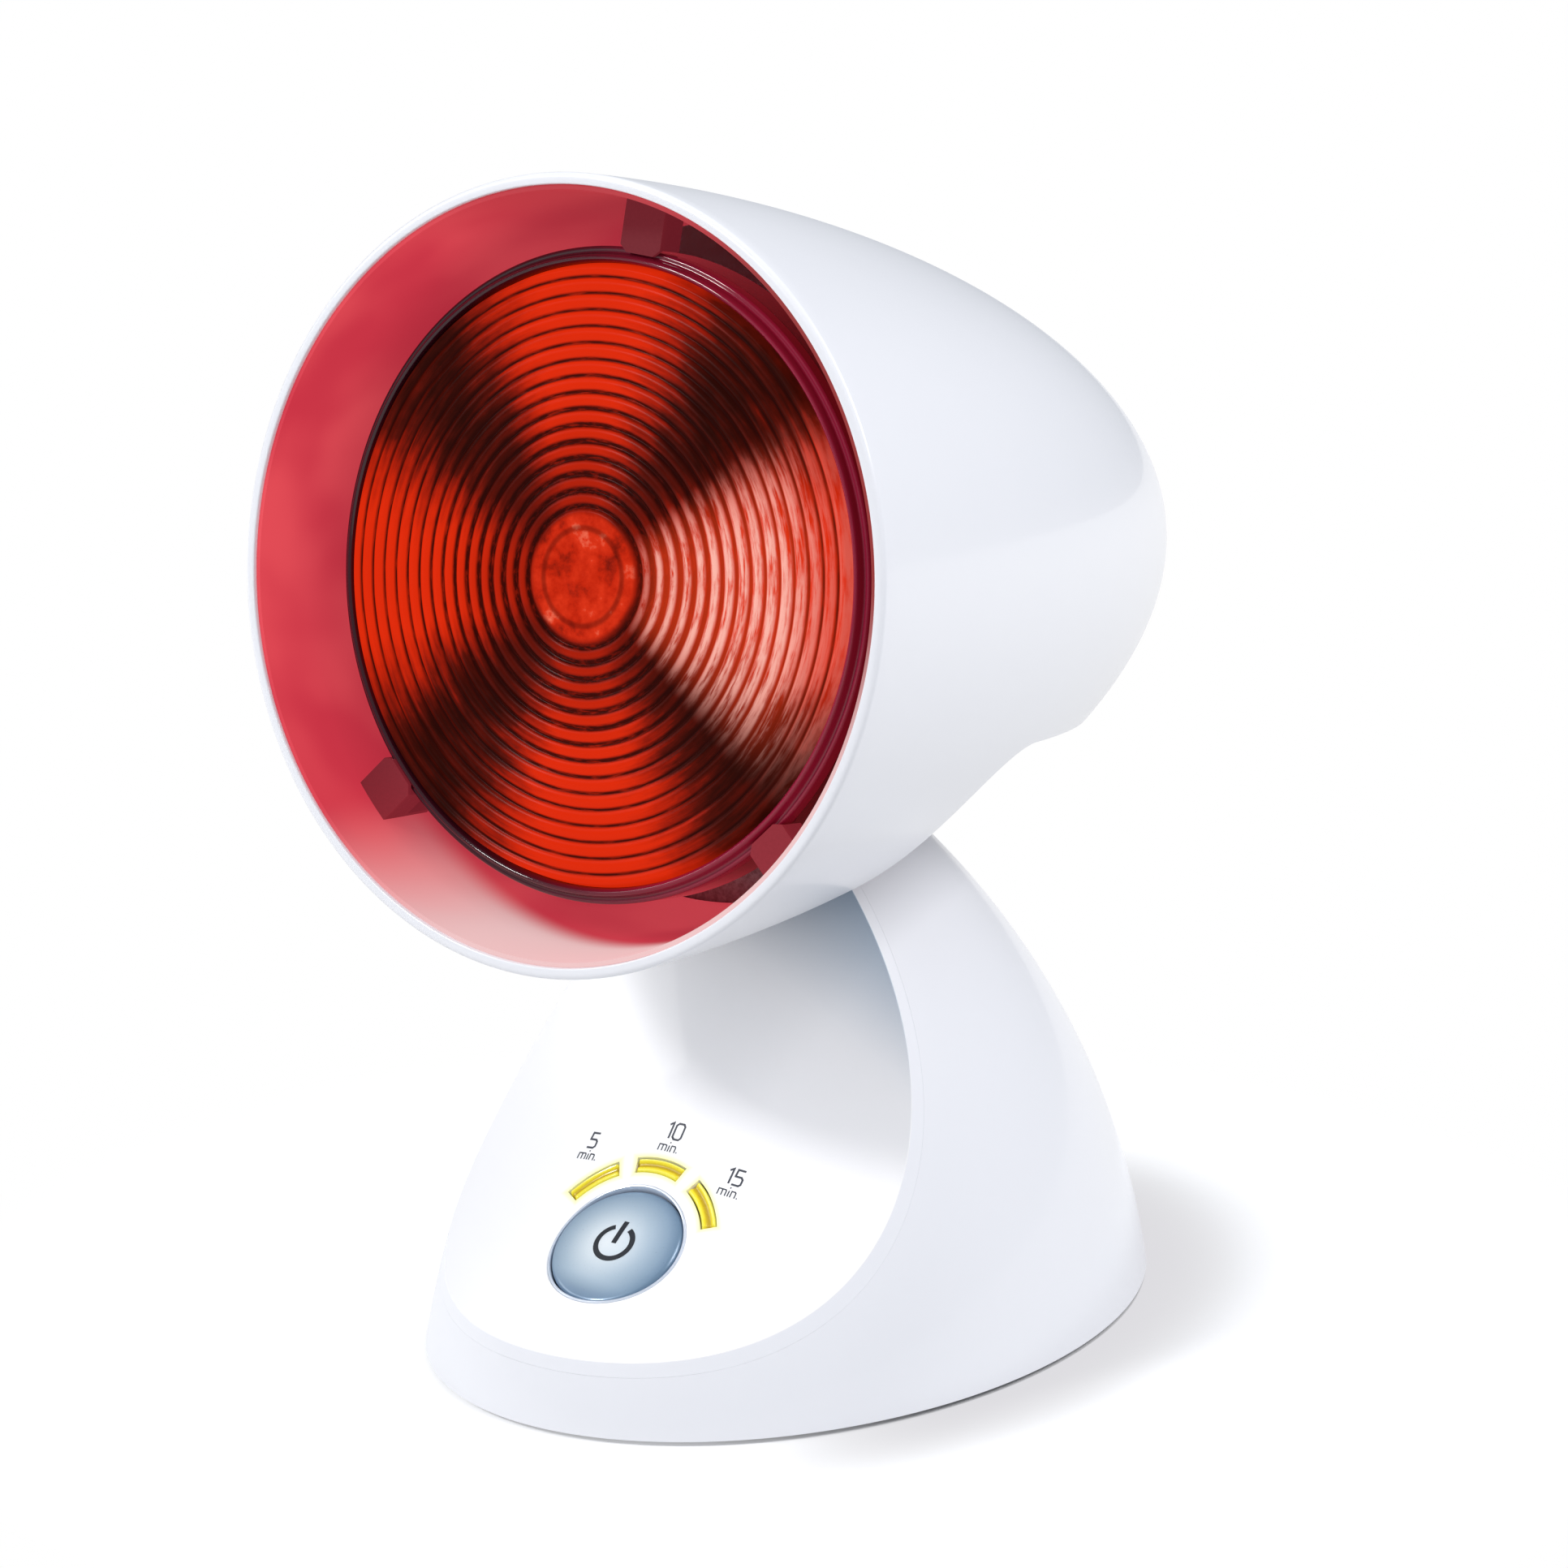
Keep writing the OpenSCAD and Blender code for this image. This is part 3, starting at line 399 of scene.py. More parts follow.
def boolean(piece, cutter, operation="DIFFERENCE"):
    """Cuts the piece and removes the cutter."""
    change = piece.modifiers.new("cut", "BOOLEAN")
    change.operation = operation
    change.solver = "EXACT"
    change.object = cutter
    settle(piece)
    bpy.data.objects.remove(cutter)


def prism(outline, low, high, place):
    """A closed outline in XY, pulled up from low to high."""
    count = len(outline)
    points = [(x, y, low) for x, y in outline] + [(x, y, high) for x, y in outline]
    faces = [tuple(range(count)), tuple(range(count, 2 * count))]
    faces += [(j, (j + 1) % count, count + (j + 1) % count, count + j) for j in range(count)]
    return tidy(new_piece("cutter", points, faces, place))


def rod(radius, low, high, place, sides=96):
    """A round prism, its sizes in millimetres."""
    outline = [polar(radius * MM, a) for a in full_turn(sides)]
    return prism(outline, low * MM, high * MM, place)


def paint(piece, material):
    piece.data.materials.clear()
    piece.data.materials.append(material)


def dress(piece, finish, body, slot, *stands_for):
    """Material, moving group and the parts that the piece stands for. The slot is not used."""
    paint(piece, finish.material)
    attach(piece, body)
    if stands_for:
        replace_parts(piece, *stands_for)
    print(piece.name, len(piece.data.polygons), "faces")


# %% [markdown]
# ## The shade
# The shade is a moulded shell. Its outline is a superellipse turned about an axis that
# rises a little towards the back, and the front is cut flat. A grid that follows that
# rule gives exact, even faces, where a modelled and smoothed lump would wobble in the
# gloss. Each column starts at the flat front, so the lip is a clean edge.

# %% Shade outline
SHADE_RADIUS = 73.2 * MM
SHADE_LENGTH = 197 * MM
SHADE_START = -11.5 * MM
SHADE_POWER = 1.83
SHADE_WALL = 2.2 * MM
SHADE_RISE = math.radians(2.4)
SHADE_COLUMNS = 224


def shade_point(angle, share, inset, drop):
    """A point of the shade: share 0 lies drop behind the rim's plane, 1 at the pole."""
    reach = SHADE_LENGTH - inset - SHADE_START
    radius = SHADE_RADIUS - inset
    depth = radius * math.tan(SHADE_RISE) * math.sin(angle) + drop
    begin = math.asin(((depth - SHADE_START) / reach) ** (SHADE_POWER / 2))
    a = begin + (math.pi / 2 - begin) * share
    r = radius * max(math.cos(a), 0) ** (2 / SHADE_POWER)
    along = SHADE_START + reach * math.sin(a) ** (2 / SHADE_POWER)
    side = r * math.sin(angle)
    return Vector((
        r * math.cos(angle),
        side * math.cos(SHADE_RISE) + along * math.sin(SHADE_RISE),
        side * math.sin(SHADE_RISE) - along * math.cos(SHADE_RISE),
    ))


def shade_ring(share, inset, drop, columns=SHADE_COLUMNS):
    return [shade_point(angle, share, inset, drop) for angle in full_turn(columns)]


def lip_ring(inward, drop):
    """A ring of the front lip, so far inward from the outer wall."""
    ring = []
    for angle in full_turn(SHADE_COLUMNS):
        edge = shade_point(angle, 0, 0, 0)
        x, y = polar(inward, angle)
        ring.append(Vector((edge.x - x, edge.y - y, -drop)))
    return ring


print("pole at", shade_point(0, 1, 0, 0))

# %% [markdown]
# The lip is rounded outside by about a millimetre and only just broken inside, which is
# what makes the thin grey line where the white lip turns into the side.

# %% Shade shell
LIP_OUTSIDE = 1.0 * MM
LIP_INSIDE = 0.35 * MM
OUTSIDE_STEPS = 4
INSIDE_STEPS = 3
OUTER_ROWS = 84
INNER_ROWS = 56
outer_rows = [shade_ring(k / OUTER_ROWS, 0, LIP_OUTSIDE) for k in range(OUTER_ROWS - 1, -1, -1)]
lip_rows = []
for k in range(1, OUTSIDE_STEPS + 1):
    a = math.radians(90 * k / OUTSIDE_STEPS)
    lip_rows.append(lip_ring(LIP_OUTSIDE * (1 - math.cos(a)), LIP_OUTSIDE * (1 - math.sin(a))))
for k in range(INSIDE_STEPS + 1):
    a = math.radians(90 * k / INSIDE_STEPS)
    lip_rows.append(lip_ring(SHADE_WALL - LIP_INSIDE * (1 - math.sin(a)), LIP_INSIDE * (1 - math.cos(a))))
inner_rows = [shade_ring(k / INNER_ROWS, SHADE_WALL, LIP_INSIDE) for k in range(1, INNER_ROWS)]
shade = turned_grid(
    "shade_skin", outer_rows + lip_rows + inner_rows, rim_place,
    shade_point(0, 1, 0, 0), shade_point(0, 1, SHADE_WALL, 0),
)

# %% [markdown]
# An arch is cut through the shade for the neck, and behind it the underside is open.
# One prism across the shade does both: a half circle in front and a flat top behind.

# %% Arch round the neck
ARCH_RADIUS = 28 * MM
ARCH_MIDDLE = (-4.8 * MM, -9.7 * MM)
ARCH_BELOW = -80 * MM
ARCH_BEHIND = 200 * MM
ARCH_HALF_WIDTH = 100 * MM
arch = []
for degrees in range(90, 271, 2):
    x, y = polar(ARCH_RADIUS, math.radians(degrees))
    arch.append((ARCH_MIDDLE[0] + x, ARCH_MIDDLE[1] + y))
arch += [(ARCH_MIDDLE[0], ARCH_BELOW), (ARCH_BEHIND, ARCH_BELOW), (ARCH_BEHIND, ARCH_MIDDLE[1] + ARCH_RADIUS)]
across = Matrix(((0, 0, 1, 0), (1, 0, 0, 0), (0, 1, 0, 0), (0, 0, 0, 1)))
boolean(shade, prism(arch, -ARCH_HALF_WIDTH, ARCH_HALF_WIDTH, hood_place @ across))
tidy(shade, 34)
dress(shade, shell_white, "shade", "shell_white", "shade_shell")

# %% [markdown]
# ## Light on the inside wall
# The bright liner inside the shade takes on the lamp's red, as light painted into its colour
# and a faint painted glow. On the left wall that is a clear crimson, at the top right painted
# shade turns it brown, and low down in front painted daylight bleaches it to a pale pink.
# Painted shade also darkens it deeper in. The finish is placed by the rim frame, so it
# stays with the shade.

# %% Liner
liner_red = Finish("liner lit red")
spot = liner_red.place(rim_place)
side, height, out = liner_red.split(spot)
wander = liner_red.noise(spot, 0.035, 2, 0.4)
wave = (wander - 0.5) * 24
crimson = liner_red.mix(liner_red.step(wander, 0.35, 0.68), colour(206, 55, 72), colour(228, 78, 88))
upper = liner_red.step(height + side * 0.5 + wave * 0.4, 34, 70)
top_shaded = liner_red.mix(upper, crimson, colour(182, 58, 66))
rightward = liner_red.step(side - height * 0.1, 14, 44)
shaded = liner_red.mix(rightward, top_shaded, colour(146, 54, 54))
low = liner_red.step(height - side * 0.45 + wave * 0.4, -24, -66)
front = liner_red.step(out - side * 0.12, -24, -15)
daylit = liner_red.mix(low * front, shaded, colour(232, 192, 192))
deep_shade = liner_red.step(out, -12, -30)
liner_tone = liner_red.mix(deep_shade * 0.35, daylit, colour(150, 34, 52))
liner_red.set(
    Base_Color=liner_red.mix(0.75, liner_tone, (0, 0, 0)),
    Roughness=wander * 0.1 + 0.35,
    Emission_Color=liner_tone,
    Emission_Strength=0.84,
    IOR=1.4,
    Specular_IOR_Level=0.2,
)
LINER_COLUMNS = 192
LINER_STEPS = 24
LINER_START = 0.7
LINER_LENGTH = 53.3
LINER_OUTSIDE = SHADE_WALL + 0.12 * MM
LINER_INSIDE = LINER_OUTSIDE + 0.8 * MM
depths = [(LINER_START + LINER_LENGTH * k / LINER_STEPS) * MM for k in range(LINER_STEPS + 1)]
liner_rows = [shade_ring(0, LINER_INSIDE, depth, LINER_COLUMNS) for depth in depths]
liner_rows += [shade_ring(0, LINER_OUTSIDE, depth, LINER_COLUMNS) for depth in reversed(depths)]
liner = turned_grid("shade_liner", liner_rows, rim_place, closed=True)
dress(liner, liner_red, "shade", "liner_bright", "heat_liner")

# %% [markdown]
# ## The ribbed lens
# The lamp's face is pressed glass with rings of ribs round a smooth disc. A rib is a
# rule in the radius, so Geometry Nodes make the lens: a flat grid is wrapped into a
# disc, and each point's height comes from the bulge and from where it stands in its rib.

# %% Lens tree
LENS_RADIUS = 57.4
DISC_RADIUS = 11.6
RIB_PITCH = 3.0
RIB_PHASE = 0.15
DIMPLE_WAVES = 900
DIMPLE_HEIGHT = 0.12 * MM


def new_tree(name, sizes):
    """A Geometry Nodes tree with named number inputs; returns it with its wires."""
    tree = bpy.data.node_groups.new(name, "GeometryNodeTree")
    for label, value in sizes.items():
        kind = "NodeSocketInt" if isinstance(value, int) else "NodeSocketFloat"
        tree.interface.new_socket(label, in_out="INPUT", socket_type=kind).default_value = value
    tree.interface.new_socket("Geometry", in_out="OUTPUT", socket_type="NodeSocketGeometry")
    graph = Graph(tree)
    start = graph.node("NodeGroupInput")
    return graph, {label: graph.wire(start, label) for label in sizes}


def finish_tree(graph, geometry, material):
    """Every tree ends in real geometry with its material."""
    real = graph.node("GeometryNodeRealizeInstances", inputs={0: geometry})
    painted = graph.node("GeometryNodeSetMaterial", inputs={"Geometry": real, "Material": material})
    graph.node("NodeGroupOutput", inputs={0: painted})
    return graph.tree


def grow(name, tree, values, place):
    """Runs a tree on an empty mesh, then keeps only the plain mesh it made."""
    piece = new_piece(name, [], [])
    change = piece.modifiers.new("grow", "NODES")
    change.node_group = tree
    for item in tree.interface.items_tree:
        if item.in_out == "INPUT" and item.name in values:
            change[item.identifier] = values[item.name]
    settle(piece)
    piece.data.transform(place)
    return piece


lens_graph, lens_in = new_tree("Ribbed lens", {
    "Radius": LENS_RADIUS * MM,
    "Disc radius": DISC_RADIUS * MM,
    "Rib pitch": RIB_PITCH * MM,
    "Rib height": 0.8 * MM,
    "Bulge": 2.0 * MM,
    "Step": 2.0 * MM,
    "Rings": 170,
    "Columns": 288,
})
grid = lens_graph.node("GeometryNodeMeshGrid", inputs={
    "Size X": 1.0,
    "Size Y": 1.0,
    "Vertices X": lens_in["Rings"],
    "Vertices Y": lens_in["Columns"],
})
across_grid, round_grid = lens_graph.split(lens_graph.node("GeometryNodeInputPosition"))[:2]
share = across_grid + 0.5
angle = (round_grid + 0.5) * (2 * math.pi)
radius = share * lens_in["Radius"]
bulge = lens_in["Step"] + lens_in["Bulge"] * (1 - share * share)
in_rib = lens_graph.maths("FRACT", (lens_in["Radius"] - radius) / lens_in["Rib pitch"] + RIB_PHASE)
# A rib is a round back with a narrow valley: a sine raised to a low power
back = lens_graph.maths("POWER", lens_graph.maths("SINE", in_rib * math.pi), 0.7)
ribbed = lens_graph.maths("GREATER_THAN", radius, lens_in["Disc radius"])
depth = lens_in["Rib height"] * (1 - back) * ribbed
dimple = (1 - ribbed) * lens_graph.maths("SINE", radius * DIMPLE_WAVES) * DIMPLE_HEIGHT
edge = lens_graph.step(share, 0.985, 1.0) * lens_in["Step"]
wrapped = lens_graph.node("GeometryNodeSetPosition", inputs={
    "Geometry": grid,
    "Position": lens_graph.combine(
        radius * lens_graph.maths("COSINE", angle),
        radius * lens_graph.maths("SINE", angle),
        bulge - depth + dimple - edge,
    ),
})
welded = lens_graph.node("GeometryNodeMergeByDistance", inputs={"Geometry": wrapped, "Distance": 1e-6})
smooth = lens_graph.node("GeometryNodeSetShadeSmooth", inputs={"Geometry": welded})
print("lens tree:", len(lens_graph.tree.nodes), "nodes")

# %% [markdown]
# The lens glows orange-red where the mirror behind it throws the light forward, and is
# darker between. The four bright fields and four dark ones stay with the lamp, because
# they are images of the filament. Fine lines of painted shade follow the ribs' valleys.
# The pale streaks on the right are a painted reflection of the studio's window on the
# rib backs.

# %% Lens finish
lens_red = Finish("ribbed red glass")
spot = lens_red.place(lamp_place)
lx, ly = lens_red.split(spot)[:2]
radius = lens_red.distance(lx, ly)
angle = lens_red.maths("ARCTAN2", ly, lx)
across = lens_red.maths("COSINE", angle)
along = lens_red.maths("SINE", angle)


def ring_streaks(density, wrap, detail):
    """Streaks that follow the rings: noise wrapped round a cylinder, so it has no seam."""
    wrapped_spot = lens_red.combine(radius * density, across * wrap, along * wrap)
    return lens_red.noise(wrapped_spot, 1.0, detail, 0.6)


arcs = ring_streaks(0.7, 3.2, 5)
threads = ring_streaks(2.4, 9, 4)
grain = lens_red.noise(spot, 0.10, 4, 0.6)
# Four bright fields, a little turned, that wash out towards the disc
fields = lens_red.maths("COSINE", (angle - 0.09) * 4)
ragged = fields + (arcs - 0.5) * 1.5 + (grain - 0.5) * 0.9
strength = lens_red.step(radius, 10, 36)
field = 0.45 + (lens_red.step(ragged, -1.30, 0.75) - 0.45) * (strength * 0.75 + 0.25)
glass = lens_red.ramp(field, [
    (0.0, colour(40, 8, 4)),
    (0.25, colour(86, 16, 7)),
    (0.5, colour(142, 25, 9)),
    (0.8, colour(190, 35, 9)),
    (1.0, colour(216, 42, 10)),
])
# Painted shade in the valleys between the ribs, wide near the disc and fine at the edge
in_rib = lens_red.maths("FRACT", (LENS_RADIUS - radius) / RIB_PITCH + RIB_PHASE)
back = lens_red.maths("SINE", in_rib * math.pi) - (1 - lens_red.step(radius, 16, 46)) * 0.4
valley = (1 - lens_red.step(back, 0.05, 0.58)) * lens_red.step(radius, 11.5, 13.0)
broken = lens_red.step(threads, 0.30, 0.55) * 0.4 + 0.6
valley_shaded = lens_red.mix(valley * broken * 0.95, glass, colour(38, 6, 4))
# A painted reflection: a window's glare over the right-hand side, drawn out into streaks along the ribs
around_right = lens_red.step(lens_red.maths("COSINE", angle + 0.02), 0.76, 0.995)
glare = around_right * lens_red.step(radius, 12, 18) * (1 - lens_red.step(radius, 42, 55) * 0.8)
warm = lens_red.mix(glare * 0.55, valley_shaded, colour(224, 62, 26))
on_back = lens_red.step(back, 0.15, 0.75)
streak = glare * on_back * lens_red.step(arcs * 0.5 + threads * 0.3 + grain * 0.2, 0.40, 0.56)
streaked = lens_red.mix(streak * 0.9, warm, colour(248, 186, 172))
# The smooth disc in the middle is mottled
mottle = lens_red.ramp(lens_red.noise(spot, 0.20, 5, 0.6), [
    (0.30, colour(112, 20, 9)),
    (0.46, colour(188, 36, 12)),
    (0.62, colour(212, 50, 22)),
    (0.76, colour(238, 120, 92)),
])
disc_line = 1 - lens_red.step(lens_red.maths("ABSOLUTE", radius - 9.0), 0.15, 0.9)
mottle = lens_red.mix(disc_line * 0.5, mottle, colour(60, 10, 6))
lens_tone = lens_red.mix(lens_red.step(radius, 11.0, 12.2), mottle, streaked)
lens_red.set(
    Base_Color=lens_red.mix(0.75, lens_tone, (0, 0, 0)),
    Emission_Color=lens_tone,
    Emission_Strength=0.84,
    Roughness=grain * 0.15 + 0.16,
    IOR=1.5,
    Specular_IOR_Level=0.02,
)
lens_tree = finish_tree(lens_graph, smooth, lens_red.material)
lens_values = {"Radius": LENS_RADIUS * MM, "Disc radius": DISC_RADIUS * MM}
lens = grow("lamp_lens_glass", lens_tree, lens_values, lamp_place)
tidy(lens, 180)
dress(lens, lens_red, "shade", "lens_red", "lamp_lens")

# %% [markdown]
# The lamp's edge is a rolled bead of glass with a groove, darker than the lens because
# it carries no light. It is turned from a closed profile.

# %% Glass bead round the lens
bead_glass = Finish("dark crimson glass")
spot = bead_glass.place(lamp_place)
lx = bead_glass.split(spot)[0]
wander = bead_glass.noise(spot, 0.05, 2)
# Painted light: the bead is lighter towards the right, where the window's light falls
rightward = bead_glass.step(lx + wander * 20, -10, 50)
bead_glass.set(
    Base_Color=bead_glass.mix(rightward, colour(58, 14, 26), colour(146, 24, 56)),
    Roughness=wander * 0.06 + 0.05,
    IOR=1.45,
)
BEAD = [
    (57.45, 0.4), (57.7, 1.2), (58.2, 1.7), (58.7, 1.5), (59.0, 0.9), (59.2, 0.3), (59.5, 0.1), (60.0, 0.15),
    (60.35, -0.1), (60.5, -0.6), (60.5, -2.85), (57.45, -2.85),
]
CURVE_STEPS = 4


def curve_point(p, t):
    """A point between p[1] and p[2], at the share t, on a smooth line through them."""
    straight = (p[2] - p[0]) * t
    bend = (2 * p[0] - 5 * p[1] + 4 * p[2] - p[3]) * t * t
    twist = (3 * p[1] - p[0] - 3 * p[2] + p[3]) * t ** 3
    return 0.5 * (2 * p[1] + straight + bend + twist)


def round_profile(profile):
    """Passes a smooth line through the profile's open part, for soft beads."""
    line = []
    for i in range(len(profile) - 3):
        p = [Vector(profile[max(i + k - 1, 0)]) for k in range(4)]
        line += [curve_point(p, s / CURVE_STEPS) for s in range(CURVE_STEPS)]
    return [(v[0], v[1]) for v in line] + profile[-3:]


bead = turn_profile("lamp_bead", round_profile(BEAD), lamp_place, 192)
dress(bead, bead_glass, "shade", "lens_red")

# %% [markdown]
# ## The base
# The dome is oval from above: every ring is a circle stretched front to back, and its
# side follows one wide arc from the table to the neck. The hollow front face is the
# surface of a spool, hollow up the panel and crowned across it. Cutting the dome with
# that spool gives the edge that curves round the panel in the photograph. Sizes are in
# millimetres, and a rod's are its radius, start and end.

# %% Dome and spool
BASE_WIDTH = 130
BASE_LENGTH = 179
BASE_WALL = 2.6
BASE_ARC = 192.0
ARC_DROP = 26.0
DOME_FOOT = 1.0
DOME_TOP = 104
HOLLOW_TOP = 88
HOLLOW = 112.0
CROWN = 163.0
SPOOL_HALF = 68
PANEL_THICKNESS = 2.2
SEAM = 0.04
SEAT_ROOM = 0.15
BARREL = (13, -17, 17)
BASE_HALF = BASE_WIDTH / 2
ARC_MIDDLE = BASE_HALF - math.sqrt(BASE_ARC ** 2 - ARC_DROP ** 2)
BASE_RATIO = BASE_LENGTH / BASE_WIDTH
INNER_RATIO = (BASE_LENGTH / 2 - BASE_WALL) / (BASE_HALF - BASE_WALL)


def dome(name, inset, ratio, low, high, rows=90, columns=256):
    rings = []
    for i in range(rows + 1):
        z = low + (high - low) * i / rows
        half = math.sqrt((BASE_ARC - inset) ** 2 - (z + ARC_DROP) ** 2) + ARC_MIDDLE
        ring = [(half * math.cos(a), half * ratio * math.sin(a)) for a in full_turn(columns)]
        rings.append([Vector((x, y, z)) * MM for x, y in ring])
    return turned_grid(name, rings, base_place, Vector((0, 0, low * MM)), Vector((0, 0, high * MM)))


def spool(outward, columns=320, rows=110):
    rings = []
    for i in range(rows + 1):
        x = -SPOOL_HALF + 2 * SPOOL_HALF * i / rows
        reach = HOLLOW + CROWN - math.sqrt((CROWN - outward) ** 2 - x * x)
        ring = [(reach * math.sin(a), HOLLOW - reach * math.cos(a)) for a in full_turn(columns)]
        rings.append([Vector((x, y, z)) * MM for y, z in ring])
    ends = [Vector((x, 0, HOLLOW)) * MM for x in (-SPOOL_HALF, SPOOL_HALF)]
    return turned_grid("cutter", rings, panel_place, *ends)


def panel_height(x, up):
    """Height of the panel's face over the button's middle, in the panel frame, in mm."""
    reach = HOLLOW + CROWN - math.sqrt(CROWN ** 2 - x * x)
    return HOLLOW - math.sqrt(reach ** 2 - up * up)


base = dome("base_skin", 0, BASE_RATIO, DOME_FOOT, DOME_TOP)
barrel_place = Matrix.Translation(hinge) @ turned(90, "Y")
boolean(base, rod(*BARREL, barrel_place, 128), "UNION")
boolean(base, spool(PANEL_THICKNESS + SEAM))
hollow = dome("cutter", BASE_WALL, INNER_RATIO, 0, HOLLOW_TOP, 40, 128)
boolean(hollow, spool(PANEL_THICKNESS + SEAT_ROOM + BASE_WALL, 160, 60))
boolean(base, hollow)
print("base so far:", len(base.data.polygons), "faces")

# %% [markdown]
# The neck has a slot on each side for an ear of the tilt bracket, rooms for the bolt's
# ends, a bore for the bolt and a passage for the leads. At the back sits the round hole
# for the cord's gland, and behind the panel a window lets the button and the lights
# through.

# %% Openings in the base
EAR_SLOT = (12, 17, 20.3)
BOLT_ROOM = (7.4, 17, 47)
BOLT_BORE = (3.05, -40, 40)
LEAD_PASSAGE = (2.8, -20, 20)
LEAD_SETBACK = 9
GLAND_HOLE = (5.6, 69.5, 99.5)
GLAND_LIFT = 16
WINDOW = [(31, 22), (31, -14), (23, -22), (-23, -22), (-31, -14), (-31, 22), (-23, 30), (23, 30)]
WINDOW_LOW = -9
WINDOW_HIGH = 1.5
for side_turn in (90, -90):
    ear_place = Matrix.Translation(hinge) @ turned(side_turn, "Y")
    boolean(base, rod(*EAR_SLOT, ear_place))
    boolean(base, rod(*BOLT_ROOM, ear_place, 64))
boolean(base, rod(*BOLT_BORE, barrel_place, 48))
boolean(base, rod(*LEAD_PASSAGE, Matrix.Translation(hinge + Vector((0, LEAD_SETBACK * MM, 0))), 40))
gland_place = base_place @ Matrix.Translation((0, 0, GLAND_LIFT * MM)) @ turned(-90)
boolean(base, rod(*GLAND_HOLE, gland_place, 48))
window = [(x * MM, y * MM) for x, y in WINDOW]
boolean(base, prism(window, WINDOW_LOW * MM, WINDOW_HIGH * MM, panel_place))
tidy(base, 34)
dress(base, shell_white, "base", "shell_white", "base_shell")

# %% [markdown]
# The panel is a separate plate of brighter white, set flush in the dome. It is the slice
# of the dome between two spools, so its outline is exactly the shell's cut. Its finish
# also carries the pale yellow halo that the lit bars throw on the plastic round them,
# and the hood's shade on its top.

# %% Panel
LIGHT_RADIUS = 18.7
LIGHT_HALF = 1.6
LIGHT_SWEEP = 33
LIGHT_TURNS = (-45, 0, 45)
BUTTON_HOLE = (14.35, -8, 8)
panel_white, spot, panel_tone = white_plastic(
    "panel white plastic", panel_place, colour(254, 253, 254), colour(252, 252, 254), 0.28, 0.005,
)
px, pu, pz = panel_white.split(spot)
bearing = panel_white.maths("ARCTAN2", px, pu) * (180 / math.pi)
off_ring = panel_white.maths("ABSOLUTE", panel_white.distance(px, pu) - LIGHT_RADIUS) - LIGHT_HALF
halos = []
for bar_turn in LIGHT_TURNS:
    off_end = (panel_white.maths("ABSOLUTE", bearing - bar_turn) - LIGHT_SWEEP / 2) * 0.33
    halos.append(1 - panel_white.step(panel_white.largest(off_ring, off_end), -0.2, 1.7))
halo = panel_white.largest(*halos)
# Its top lies under the hood, where little of the room's light reaches
sheltered = panel_white.step(pu + px * 0.35, 58, 86)
panel_tone = panel_white.mix(sheltered, panel_tone, colour(168, 188, 208))
panel_tone = panel_white.mix(halo * 0.75, panel_tone, colour(255, 252, 150))
# The plate's flank lies in the dome's side, so it takes the shell's own white
to_axis = panel_white.distance(pu, HOLLOW - pz)
face = HOLLOW + CROWN - panel_white.maths("SQRT", CROWN * CROWN - px * px)
flank = panel_white.step(to_axis - face, 0.05, 0.2)
panel_white.set(Base_Color=panel_white.mix(flank, panel_tone, SHELL_TONE))
panel = dome("panel_skin", 0, BASE_RATIO, DOME_FOOT, DOME_TOP)
boolean(panel, spool(PANEL_THICKNESS), "INTERSECT")
boolean(panel, spool(0))
boolean(panel, rod(*BUTTON_HOLE, panel_place, 128))
print("panel", len(panel.data.polygons), "faces")

# %% [markdown]
# ## The time lights
# Three curved bars glow yellow over the button. They repeat on one ring, so a tree bends
# one bar, turns a copy of it to each place and joins them. The slots in the panel are
# cut with the same arc, a little larger.

# %% Light bars
SLOT_HALF = 1.7
SLOT_SWEEP = LIGHT_SWEEP + 0.6
SLOT_DEPTH = 6
BAR_LIFT = 0.05


def arc_outline(inner, outer, middle, sweep, steps=20):
    """An arc in the panel frame, its middle so many degrees from up, in millimetres."""
    angles = [math.radians(90 - middle + sweep * (k / steps - 0.5)) for k in range(steps + 1)]
    line = [polar(outer, a) for a in angles] + [polar(inner, a) for a in reversed(angles)]
    return [(x * MM, y * MM) for x, y in line]


for bar_turn in LIGHT_TURNS:
    slot = arc_outline(LIGHT_RADIUS - SLOT_HALF, LIGHT_RADIUS + SLOT_HALF, bar_turn, SLOT_SWEEP)
    boolean(panel, prism(slot, -SLOT_DEPTH * MM, SLOT_DEPTH * MM, panel_place))
tidy(panel, 34)
dress(panel, panel_white, "base", "panel_white", "control_panel")

light_yellow = Finish("lit yellow plastic")
spot = light_yellow.place(panel_place)
px, pu = light_yellow.split(spot)[:2]
across_bar = (light_yellow.distance(px, pu) - (LIGHT_RADIUS - LIGHT_HALF)) / (2 * LIGHT_HALF)
# Painted light and shade across each bar: darker at its edges and in its groove, with bright lines just
# inside the edges
band = light_yellow.ramp(across_bar, [
    (0.0, colour(168, 156, 40)),
    (0.10, colour(236, 226, 70)),
    (0.28, colour(228, 210, 24)),
    (0.44, colour(184, 154, 14)),
    (0.58, colour(180, 150, 12)),
    (0.74, colour(232, 214, 26)),
    (0.90, colour(240, 232, 84)),
    (1.0, colour(146, 136, 44)),
])
light_yellow.set(
    Base_Color=band,
    Emission_Color=band,
    Emission_Strength=0.16,
    Roughness=light_yellow.noise(spot, 0.5) * 0.1 + 0.22,
    Coat_Weight=0.4,
)

